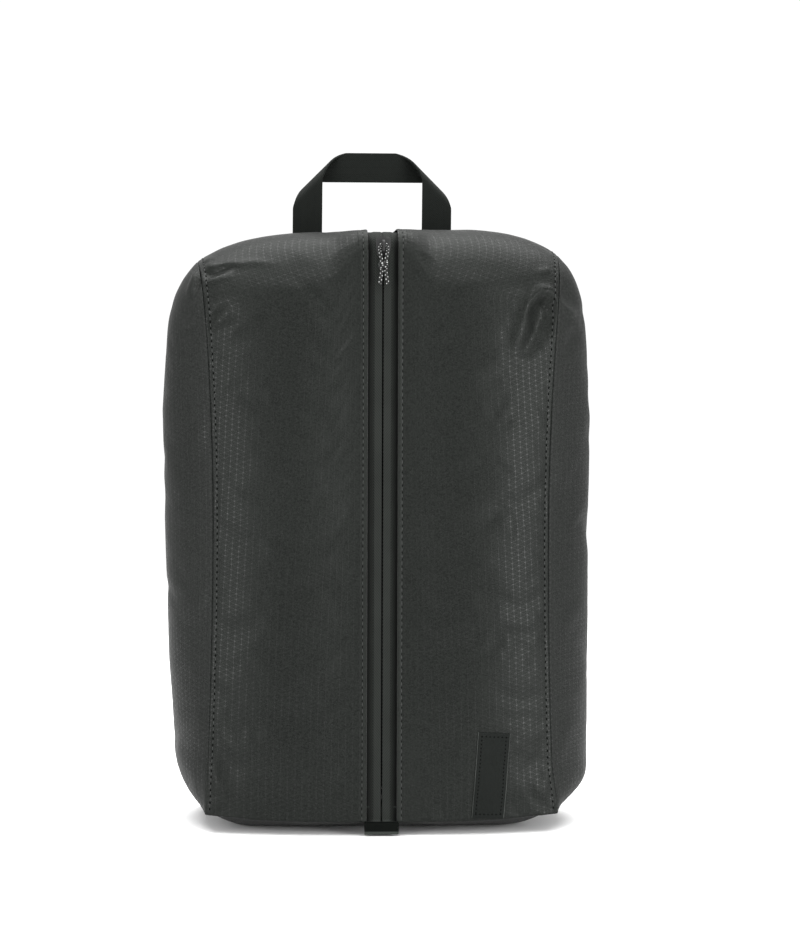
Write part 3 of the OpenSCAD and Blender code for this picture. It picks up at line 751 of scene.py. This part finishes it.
def tab_place(x, along):
    """Folded webbing: down the front layer, round the lower end and up the back layer."""
    low = tab_floor + tab_t / 2
    straight = foot_z(0) - seam_gap - low
    turn = limit((along - straight) / tab_layer, 0, math.pi)
    rise = max(straight - along, along - straight - math.pi * tab_layer, 0)
    middle = -base_d / 2 + seam_edge - seam_gap - tab_t / 2
    return np.array([x, middle - tab_layer * math.cos(turn), low - tab_layer * math.sin(turn) + rise])


def label_place(aside, rise):
    """Spot of the label on the right front panel."""
    share = across(label_x)
    panel_l = float(np.linalg.norm(fold_point(share, lean(share)) - np.array([foot_y(share), foot_z(share)])))
    lift = label_w / 2 * sin(label_lean)
    x = label_x + aside * cos(label_lean) + rise * sin(label_lean)
    run = (rise * cos(label_lean) - aside * sin(label_lean) + lift) / panel_l
    column = (x - flap_x) / (seam_x(section(1, run)[1]) - flap_x) * panel_w
    at, out = front_panels["right"].on(column, run)
    return at + out * label_lift


def sew(name, stitches, length, thread, material, flat=1.0):
    """A row of stitches, each a small plump capsule, from points with the line's direction and normal."""
    shape = bmesh.new()
    for at, along, out in stitches:
        along = Vector(along).normalized()
        out = Vector(out)
        side = out.cross(along).normalized()
        turn = Matrix((along, side, along.cross(side))).transposed().to_4x4()
        size = Matrix.Diagonal((length / 2 * MM, thread / 2 * MM, thread / 2 * flat * MM, 1))
        bmesh.ops.create_uvsphere(shape, u_segments=8, v_segments=5, radius=1,
                                  matrix=Matrix.Translation(Vector(at) * MM) @ turn @ size)
    return finished(name, shape, material)


def stitch_row(sheet, column, pitch, lift, skip=0.0, shift=0.5):
    """Places along a column of a sheet, one to a stitch."""
    total = sheet.length(column)
    places = []
    for k in range(int(total / pitch)):
        middle = pitch * (k + shift)
        if skip < middle < total - skip:
            rows = sheet.rows_at(column, [middle - 0.5, middle + 0.5])
            start, end = (sheet.on(column, row) for row in rows)
            places.append(((start[0] + end[0]) / 2 + start[1] * lift, end[0] - start[0], start[1]))
    return places


def tube(name, points, radius, material):
    """A round tube along points in millimetres, with weave coordinates round and along it."""
    data = bpy.data.curves.new(name, "CURVE")
    data.dimensions, data.bevel_depth, data.bevel_resolution, data.use_fill_caps = "3D", radius * MM, 3, True
    line = data.splines.new("POLY")
    line.points.add(len(points) - 1)
    for spot, point in zip(line.points, points):
        spot.co = (*(Vector(point) * MM), 1)
    curve = bpy.data.objects.new(name + "_line", data)
    mesh = bpy.data.meshes.new_from_object(curve)
    bpy.data.objects.remove(curve)
    bpy.data.curves.remove(data)
    lengths = np.concatenate([[0], np.cumsum(np.linalg.norm(np.diff(points, axis=0), axis=1))])
    shape = bmesh.new()
    shape.from_mesh(mesh)
    bpy.data.meshes.remove(mesh)
    shape.loops.layers.uv.verify()
    weave = shape.loops.layers.uv.new("weave")
    old = shape.loops.layers.uv[0]
    for face in shape.faces:
        for loop in face.loops:
            along, round_share = loop[old].uv
            loop[weave].uv = (round_share * 2 * math.pi * radius * MM, along * lengths[-1] * MM)
    return finished(name, shape, material)


def smooth_line(points, steps=6):
    """Points on a rounded line through the given ones."""
    points = [np.array(p, float) for p in points]
    line = []
    for k in range(len(points) - 1):
        before, start, end, after = (points[limit(k + d, 0, len(points) - 1)] for d in (-1, 0, 1, 2))
        for step in range(steps):
            t = step / steps
            bend = (2 * before - 5 * start + 4 * end - after) * t ** 2
            twist = (3 * start - before - 3 * end + after) * t ** 3
            line.append(0.5 * (2 * start + (end - before) * t + bend + twist))
    return line + [points[-1]]


def bevelled_copy(name, node, width):
    """A CAD piece with its edges softened."""
    shape = bmesh.new()
    shape.from_mesh(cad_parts[node].data)
    bmesh.ops.remove_doubles(shape, verts=shape.verts[:], dist=1e-6)
    bmesh.ops.dissolve_limit(shape, angle_limit=math.radians(2), verts=shape.verts[:], edges=shape.edges[:])
    sharp = [e for e in shape.edges if len(e.link_faces) == 2 and e.calc_face_angle() > math.radians(35)]
    bmesh.ops.bevel(shape, geom=sharp, offset=width * MM, affect="EDGES", segments=2, profile=0.5,
                    material=-1, clamp_overlap=True)
    piece = finished(name, shape, metal_finish)
    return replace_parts(piece, node)


place_camera()

# Grids of the panels
front_columns = spread((-hem_back - hem_bend, 2.3), (-hem_bend, 0.35), (0, 0.75), (4.5, 1.6), (9, 3.2),
                       (60, 1.7), (94, 0.7), (panel_w, 1))
front_rows = spread((0, 0.002), (0.008, 0.01), (0.86, 0.005), (1, 1 / 40), (2, 1 / 18), (2.94, 0.015), (3, 1))
deep_columns = banded(0, 1, 0.02, 0.006, 0.02)
high_rows = spread((0, 0.0025), (0.01, 0.01), (0.74, 0.005), (0.99, 0.0025), (1, 1))
side_columns = banded(-1, 1, 0.02, 0.006, 0.035)
back_rows = banded(0, 1, 0.01, 0.0025, 0.011)
base_rows = banded(0, 1, 0.02, 0.006, 0.03)

# The cord pull comes first: its route repeats the points of the part's source
half_route = [(2.4, -2, -25), (2, -1.8, -22), (1.5, -1.5, -19), (1.2, -1.2, -16), (1.2, -1.2, -13),
              (1.4, -1, -10), (1.9, -0.6, -7), (2.3, -0.2, -4.5), (2.4, 0, -2.5), (1.7, 0, -0.7)]
route = [(-x, y, z) for x, y, z in half_route] + [(0, 0, 0)] + half_route[::-1]
pull_line = smooth_line([on_front(x, eye_y + y, eye_z + z) for x, y, z in route])
pull_cord = tube("pull_braid", pull_line, cord_d / 2, cord_finish)
knot_y, knot_z = half_route[4][1:]
knot_r, knot_half_h, knot_turn = 2.05, 2.3, 900
knot_line = []
for turn in range(0, knot_turn + 1, 20):
    rise = mix(-knot_half_h, knot_half_h, turn / knot_turn)
    knot_line.append(on_front(knot_r * cos(turn), eye_y + knot_y + knot_r * sin(turn), eye_z + knot_z + rise))
pull_knot = tube("pull_knot_wraps", knot_line, cord_d / 2, cord_finish)
for piece, node in ((pull_cord, "pull_cord"), (pull_knot, "pull_knot")):
    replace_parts(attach(piece, "pull"), node)
on_front(0, eye_y, eye_z) * MM
[p * MM for p in pull_line]

# How the filled cloth lies: the right shoulder rides higher, the left side runs in towards its foot and the
# right foot spreads. A run-in is a height and how far the gusset's middle draws in there.
shoulder_tilt, shoulder_from = 0.028, 280
shoulder_run_in = [(260, 0), (280, 1.3), (305, 3), (325, 4.6), (340, 3), (353, 0)]
left_run_in = [(12, 0), (20, 1.3), (28, 4.5), (53, 10), (78, 7.8), (103, 5.2), (154, 2.9), (204, 1.5)]
left_run_in += shoulder_run_in
right_run_in = [(12, 0)] + shoulder_run_in
left_foot_h, right_foot_h = 58, 30
foot_out, foot_out_x, foot_out_z = 2.5, (60, 110), (45, 15)


def slumped(point):
    x, y, z = point
    z += shoulder_tilt * x * ease(shoulder_from, body_h, z)
    x += foot_out * ease(*foot_out_x, x) * ease(*foot_out_z, z)
    beside = limit((abs(x) - seam_x(z)) / gusset_swell)
    run_in = left_run_in if x < 0 else right_run_in
    return np.array([x - math.copysign(beside * np.interp(z, *zip(*run_in)), x), y, z])


# Creases, each a line seen from the front as (x, z), with its height and width
front_creases, gusset_creases = {}, {}
front_creases["left"] = [
    ([(-107.9, 347.5), (-99.7, 350.7), (-89.6, 353.9)], -2.4, 1.7),
    ([(-107.3, 351.3), (-95.9, 353.8), (-80, 355.7), (-64.2, 355.1)], 1.5, 2.2),
    ([(-107.9, 343), (-101.6, 345.6), (-91.5, 347.5)], 1.0, 2.2),
    ([(-109.8, 355.1), (-100.9, 358)], 0.9, 1.0),
    ([(-109.2, 352.8), (-101.6, 354.7)], 0.6, 1.0),
    ([(-40, 340), (-73.7, 340.5), (-106.7, 338), (-108, 337)], 0.9, 7),
    ([(-105, 318), (-92, 327)], -1.2, 5),
    ([(-92.7, 312), (-72.5, 331)], 1.2, 7),
    ([(-98, 300), (-80, 318)], -0.6, 6),
    ([(-104, 60), (-88, 30)], -0.9, 5),
    ([(-106, 40), (-96, 22)], 0.8, 4),
]
front_creases["right"] = [
    ([(112, 328), (104, 332), (97, 328), (92, 318)], -2.6, 4.4),
    ([(112, 334), (106, 339), (99, 340), (92, 333), (87, 320)], 2.3, 2.8),
    ([(104, 328), (96, 312), (86, 296)], -3.8, 5.6),
    ([(88, 322), (82, 302)], 1.9, 5.5),
    ([(86, 320), (74, 298)], -1.2, 6),
    ([(40, 343), (70, 344), (100, 346)], 0.9, 7),
    ([(106, 352), (96, 350)], 0.7, 1.6),
    ([(104, 54), (90, 32)], -0.8, 5),
    ([(107, 36), (97, 20)], 0.9, 4),
]
gusset_creases["left"] = [
    ([(-113.6, 350), (-118, 340.6), (-121.2, 333)], 2.6, 1.8),
    ([(-112.4, 344.4), (-120.6, 329)], -2.4, 1.8),
    ([(-111, 341), (-121, 331.7)], 1.6, 1.6),
    ([(-110.1, 333), (-116.2, 324), (-123.1, 314.6)], 2.8, 1.8),
    ([(-112.4, 327.9), (-120.6, 318.4)], -2.4, 1.8),
    ([(-112, 250), (-124, 236)], 0.8, 5),
    ([(-110, 150), (-124, 128)], 0.9, 6),
    ([(-112, 70), (-120, 50)], 1.0, 4),
]
gusset_creases["right"] = [
    ([(114.6, 329.8), (119.3, 325.4), (124, 323)], 2.0, 2),
    ([(116.5, 340), (119, 334), (122, 327)], -3.6, 5),
    ([(118.7, 302.6), (123.7, 315)], -2.4, 4),
    ([(113.6, 223), (128.8, 242)], 0.9, 5),
    ([(113, 205), (127, 222)], -0.7, 5),
    ([(112, 120), (127, 146)], 0.8, 6),
    ([(113, 50), (124, 72)], 0.9, 5),
]


def creased(points, creases):
    """How far creases lift each point. A crease is strongest at its start and fades towards its end."""
    lift = np.zeros(points.shape[:2])
    spots = points[:, :, [0, 2]]
    for line, height, width in creases:
        line = np.array(line, float)
        steps = np.diff(line, axis=0)
        lengths = np.linalg.norm(steps, axis=1)
        done, away, along = 0.0, np.full(lift.shape, np.inf), np.zeros(lift.shape)
        for start, step, length in zip(line, steps, lengths):
            share = np.clip(((spots - start) @ step) / length ** 2, 0, 1)
            distance = np.linalg.norm(spots - start - share[:, :, None] * step, axis=2)
            along = np.where(distance < away, (done + share * length) / lengths.sum(), along)
            away = np.minimum(away, distance)
            done += length
        lift += height * np.exp(-(away / width) ** 2) * (1 - along ** 3)
    return lift


def through(places, values, at):
    """Smooth curve through values at places, read at other places, along the first axis."""
    slopes = np.gradient(values, places, axis=0)
    k = np.clip(np.searchsorted(places, at) - 1, 0, len(places) - 2)
    gap = np.array(places)[k + 1] - np.array(places)[k]
    t = ((np.array(at) - np.array(places)[k]) / gap).reshape(-1, *[1] * (values.ndim - 1))
    gap = gap.reshape(t.shape)
    start, end = values[k] * (1 + 2 * t) * (1 - t) ** 2, values[k + 1] * t * t * (3 - 2 * t)
    return start + end + gap * (slopes[k] * t * (1 - t) ** 2 + slopes[k + 1] * t * t * (t - 1))


def filled(columns, rows, place, side, held, seed, growth, stiff, cap):
    """How the filling moves the cloth: a coarse copy, sewn down where held says, swells under pressure.
    Gives a function that reads the movement on a finer grid."""
    points = laid(columns, rows, lambda c, r: slumped(place(c, r) * np.array([side, 1, 1])))
    rough = points + np.random.default_rng(seed).normal(0, filling_jitter, points.shape)
    sheet = Sheet("filling_cloth", shell_finish, columns, rows, rough, side < 0)
    piece = sheet.piece
    sewn = piece.vertex_groups.new(name="sewn")
    for (row, column), index in np.ndenumerate(sheet.order):
        sewn.add([int(index)], held(columns[column], rows[row]), "REPLACE")
    cloth = piece.modifiers.new("filling", "CLOTH")
    pull = cloth.settings
    pull.quality, pull.mass, pull.air_damping = 6, 0.25, 4
    pull.tension_stiffness = pull.compression_stiffness = 14
    pull.shear_stiffness, pull.bending_stiffness = 5, stiff
    pull.use_pressure, pull.uniform_pressure_force, pull.shrink_min = True, 4, -growth
    pull.vertex_group_mass = "sewn"
    pull.effector_weights.gravity = 0
    cloth.collision_settings.use_collision = False
    cloth.point_cache.frame_start, cloth.point_cache.frame_end = 1, filling_frames
    for frame_number in range(1, filling_frames + 1):
        bpy.context.scene.frame_set(frame_number)
    settled = piece.evaluated_get(bpy.context.evaluated_depsgraph_get())
    flat = np.zeros(len(settled.data.vertices) * 3)
    settled.data.vertices.foreach_get("co", flat)
    moved = flat.reshape(-1, 3)[sheet.order] / MM - points
    bpy.context.scene.frame_set(1)
    bpy.data.objects.remove(piece)
    moved *= min(1, cap / np.linalg.norm(moved, axis=2).max())

    def movement(fine_columns, fine_rows):
        by_column = np.swapaxes(through(rows, moved, fine_rows), 0, 1)
        return np.swapaxes(through(columns, by_column, np.maximum(fine_columns, columns[0])), 0, 1)

    return movement


def still(columns, rows):
    return np.zeros((len(rows), len(columns), 3))


# Filling: how much each cloth grows, how stiffly it bends and how far it may move. The functions after it
# give 1 where a cloth is sewn down.
filling_frames, filling_jitter = 20, 0.12
front_filling, gusset_filling, back_filling = (0.026, 0.8, 1.7), (0.012, 2.5, 1.3), (0.02, 0.8, 2.0)
coarse_front = (spread((0, 4), (panel_w, 1)), spread((0, 0.0125), (1, 1 / 15), (2, 1 / 16), (3, 1)))
coarse_gusset = (spread((0, 0.036), (1, 1)), spread((0, 0.0125), (1, 1)))
coarse_back = (spread((-1, 0.045), (1, 1)), spread((0, 0.0135), (1, 1)))


def front_held(column, row):
    by_side = ease(9, 16, column) * ease(0, 6, panel_w - column)
    return 1.0 - by_side * ease(0, 0.02, row) * ease(0, 0.08, 3 - row)


def gusset_held(deep, high):
    return 1.0 - ease(0, 0.06, deep) * ease(0, 0.06, 1 - deep) * ease(0, 0.02, high) * ease(0, 0.02, 1 - high)


def back_held(side, run):
    return 1.0 - ease(0, 0.08, 1 - abs(side)) * ease(0, 0.03, run) * ease(0.02, 0.1, 1 - run)


# Sewn panels
cloth_t = 0.4
front_panels, panels = {}, {}
front_grid = laid(front_columns, front_rows, front_place)
front_free = np.array([[1 - front_held(max(c, 0), r) for c in front_columns] for r in front_rows])
gusset_free = np.array([[(1 - gusset_held(d, h)) * ease(0.55, 0.4, d) for d in deep_columns]
                        for h in high_rows])
for hand, side, foot_h, seed in (("left", -1, left_foot_h, 3), ("right", 1, right_foot_h, 8)):
    mirror = np.array([side, 1, 1])

    def gusset_place(deep, high):
        return gusset_point(deep, high, foot_z(1) + foot_h)

    fill_front, fill_gusset = still, still
    fill_front = filled(*coarse_front, front_place, side, front_held, seed, *front_filling)
    fill_gusset = filled(*coarse_gusset, gusset_place, side, gusset_held, seed + 1, *gusset_filling)
    grid = np.apply_along_axis(slumped, 2, front_grid * mirror) + fill_front(front_columns, front_rows)
    lift = creased(grid, front_creases[hand]) * front_free
    grid = sunk(front_columns, front_rows, grid, front_sink, side, front_tuck, lift)
    front_panels[hand] = Sheet(hand + "_front_cloth", shell_finish, front_columns, front_rows, grid, side < 0)
    # The rolled hem between the flap's edge and its stitch line gets a painted highlight
    front_panels[hand].mark("hem_highlight", lambda c, r: ease(0, 0.7, c) * ease(2.6, 2, c))
    panels[hand + "_front_panel"] = front_panels[hand]
    grid = laid(deep_columns, high_rows, lambda d, h: slumped(gusset_place(d, h) * mirror))
    grid += fill_gusset(deep_columns, high_rows)
    lift = creased(grid, gusset_creases[hand]) * gusset_free
    grid = sunk(deep_columns, high_rows, grid, gusset_sink, side, None, lift)
    gusset = Sheet(hand + "_gusset_cloth", gusset_sheen_finish, deep_columns, high_rows, grid, side < 0)
    panels[hand + "_side_gusset"] = gusset
fill_back = filled(*coarse_back, back_place, 1, back_held, 21, *back_filling)
for node, columns, rows, place, sink, fill in (
        ("back_panel", side_columns, back_rows, back_place, back_sink, fill_back),
        ("base_panel", side_columns, base_rows, base_place, base_sink, still)):
    grid = laid(columns, rows, lambda c, r: slumped(place(c, r))) + fill(columns, rows)
    grid = sunk(columns, rows, grid, sink)
    panels[node] = Sheet(node.replace("panel", "cloth"), shell_finish, columns, rows, grid)
for node, sheet in panels.items():
    sheet.thicken(cloth_t)
    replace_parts(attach(sheet.piece, "bag"), node)

# Topstitching: thread stitches, and between them dark capsules in the needle_shadow colour, painted shadow in
# the needle holes
for hand, sheet in front_panels.items():
    for line, column, pitch, hole in (("flap", flap_stitch, flap_pitch, 0.75),
                                      ("seam", panel_w - seam_stitch, seam_pitch, 1.05)):
        spots = stitch_row(sheet, column, pitch, stitch_lift, row_end)
        stitches = sew(f"{hand}_{line}_stitches", spots, stitch_share * pitch, thread_d, thread_finish)
        spots = stitch_row(sheet, column, pitch, hole_lift, row_end, 0)
        hole_shadows = sew(f"{hand}_{line}_holes", spots, hole_share * hole, hole, hole_shadow_finish, hole_flat)
        for row in (stitches, hole_shadows):
            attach(row, "bag")

# Zip
tape_rows = spread((-1, 0.7), (2.5, 3), (front_l, 0.7), (front_l + fold_l, 3), (front_l + fold_l + top_l, 1))
tape_columns = spread((tape_edge, 0.25), (tape_round, 0.8), (tape_shoulder, 0.4), (tape_low, 1.6),
                      (slot_x + tape_w, 1))
for hand, side in hands.items():
    grid = laid(tape_columns, tape_rows, tape_place) * np.array([side, 1, 1])
    tape = Sheet(hand + "_woven_tape", tape_finish, tape_columns, tape_rows, grid, side < 0)
    tape.mark("rim", lambda c, r: 0.5 * ease(1.8, 0.6, r))
    tape.mark("shaded", lambda c, r: ease(6.2, 8.2, c) * ease(front_l + fold_l, front_l, r))
    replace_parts(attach(tape.thicken(0.5).piece, "bag"), hand + "_zip_tape")
metal_bevel = 0.22
for name, node, body in (("slider_body", "zip_slider", "slider"), ("slider_bridge", "slider_bail", "slider"),
                         ("top_stop_clips", "zip_top_stops", "bag"),
                         ("bottom_stop_clip", "zip_bottom_stop", "bag")):
    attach(bevelled_copy(name, node, metal_bevel), body)
for hand in hands:
    coil_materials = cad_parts[hand + "_zip_coil"].data.materials
    coil_materials.clear()
    coil_materials.append(coil_finish)

# Handle, tab and label
strap_rows = spread((-handle_end_l - 2, 2), (0, 1.5), (strap_l, 2), (strap_l + handle_end_l + 2, 1))
strap_columns = banded(-webbing_w / 2, webbing_w / 2, 1, 0.5, 2)
grid = laid(strap_columns, strap_rows, strap_place)
strap = Sheet("handle_webbing", webbing_finish, strap_columns, strap_rows, grid)
strap.thicken(webbing_t, 0)
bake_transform(strap.piece)
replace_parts(strap.piece, "handle_loop", "handle_ends")

tab_columns = banded(-tab_w / 2, tab_w / 2, 1, 0.5, 2)
tab_rows = spread((0, 1), (6.2, 0.3), (8.8, 1), (15, 1))
tab = Sheet("folded_tab", tab_finish, tab_columns, tab_rows, laid(tab_columns, tab_rows, tab_place))
tab.thicken(tab_webbing_t, 0)
tab.mark("rim", lambda c, r: ease(5.4, 6.3, r) * ease(8.2, 7.2, r))
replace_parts(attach(tab.piece, "bag"), "bottom_tab")

label_columns = banded(-label_w / 2, label_w / 2, 2, 0.6, 2)
label_rows = banded(0, label_h, 2, 0.6, 3)
grid = laid(label_columns, label_rows, label_place)
label = Sheet("plain_label", label_finish, label_columns, label_rows, grid)
label.thicken(label_t)
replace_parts(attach(label.piece, "bag"), "front_label")
border, border_pitch, border_stitch, border_thread, border_flat = 2.6, 2.4, 1.3, 0.75, 0.4
# The label's stitch lines are dark dots in the needle_shadow colour: painted shade of the stitch holes
label_stitch_shadows = []
for column in (-label_w / 2 + border, label_w / 2 - border):
    label_stitch_shadows += stitch_row(label, column, border_pitch, stitch_lift, border)
for row in (border, label_h - border):
    count = int((label_w - 2 * border) / border_pitch)
    for k in range(count + 1):
        at, out = label.on(mix(border - label_w / 2, label_w / 2 - border, k / count), row)
        label_stitch_shadows.append((at + out * stitch_lift, (1, 0, 0), out))
label_sewing = sew("label_stitch_shadows", label_stitch_shadows, border_stitch, border_thread, hole_shadow_finish, border_flat)
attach(label_sewing, "bag")


# Bound seam edges inside the bag
def bound_edge(name, node, line, across_to):
    """Folded tape along a line of points, with its width towards another line."""
    rows = list(range(len(line)))
    columns = spread((0, 1), (binding_w, 1))
    points = laid(columns, rows, lambda c, r: slumped(mix(line[r], across_to[r], c / binding_w)))
    sheet = Sheet(name, binding_finish, columns, rows, points)
    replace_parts(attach(sheet.thicken(binding_t - cloth_t, 0).piece, "bag"), node)


def spine(point):
    z = limit(point[2], spine_low, spine_high)
    front = mix(foot_y(1), fold_point(1, lean(1))[0], z / body_h)
    return np.array([point[0], (front + mix(back_foot_y(1), top_end(1)[0], z / body_h)) / 2, z])


loop_shares = np.linspace(0, 1, 41)
side_loop = [seam_front(s) for s in loop_shares] + [seam_top(s) for s in loop_shares[1::2]]
side_loop += [seam_back(s) for s in loop_shares[-2::-1]] + [seam_base(s) for s in loop_shares[-3:1:-3]]
for hand, side in hands.items():
    line, inner = [], []
    for point in side_loop:
        inward = spine(point) - point
        inward /= np.linalg.norm(inward)
        near = point + inward * 2 * seam_edge - np.array([seam_edge + binding_t / 2, 0, 0])
        line.append(near * np.array([side, 1, 1]))
        inner.append((near + inward * binding_w) * np.array([side, 1, 1]))
    bound_edge(hand + "_bound_edge", hand + "_seam_binding", line, inner)
cross_reach = 0.84
cross_x = np.linspace(-cross_reach, cross_reach, 33) * half_w
bindings = {
    "top": lambda x, s: [x, top_end(s)[0] - 2 * seam_edge - webbing_t - binding_t / 2,
                         top_end(s)[1] - 2 * seam_edge - tape_t - binding_w],
    "front_base": lambda x, s: [x, foot_y(s) + 2 * seam_edge + tape_t + binding_t / 2,
                                foot_z(s) + seam_edge / 2],
    "back_base": lambda x, s: [x, back_foot_y(s) - 2 * seam_edge - binding_t / 2, foot_z(s) + seam_edge / 2],
}
for name, low in bindings.items():
    line = [np.array(low(x, across(x))) for x in cross_x]
    node = "top_seam_binding" if name == "top" else name + "_binding"
    bound_edge(name + "_bound_edge", node, line, [p + np.array([0, 0, binding_w]) for p in line])

# Studio: each light has its place, aim and size in metres and its power in watts
lay_floor()
world = bpy.data.worlds.new("studio")
bpy.context.scene.world = world
world.use_nodes = True
backdrop = world.node_tree.nodes["Background"].inputs
backdrop["Color"].default_value = (1, 1, 1, 1)
backdrop["Strength"].default_value = 1.05
hang_light("top_light", (0, 0.2, 1.45), (0, 0, 0.3), (1.9, 1.3), 41)
hang_light("front_top_light", (0, -0.95, 1.35), (0, 0, 0.33), (1.5, 0.5), 11)
hang_light("right_light", (1.3, -1.38, 0.4), (0.08, 0, 0.2), (0.7, 0.9), 26)
hang_light("left_light", (-1.3, -1.38, 0.4), (-0.08, 0, 0.2), (0.7, 0.9), 18)
bpy.context.scene.view_settings.view_transform = "Standard"
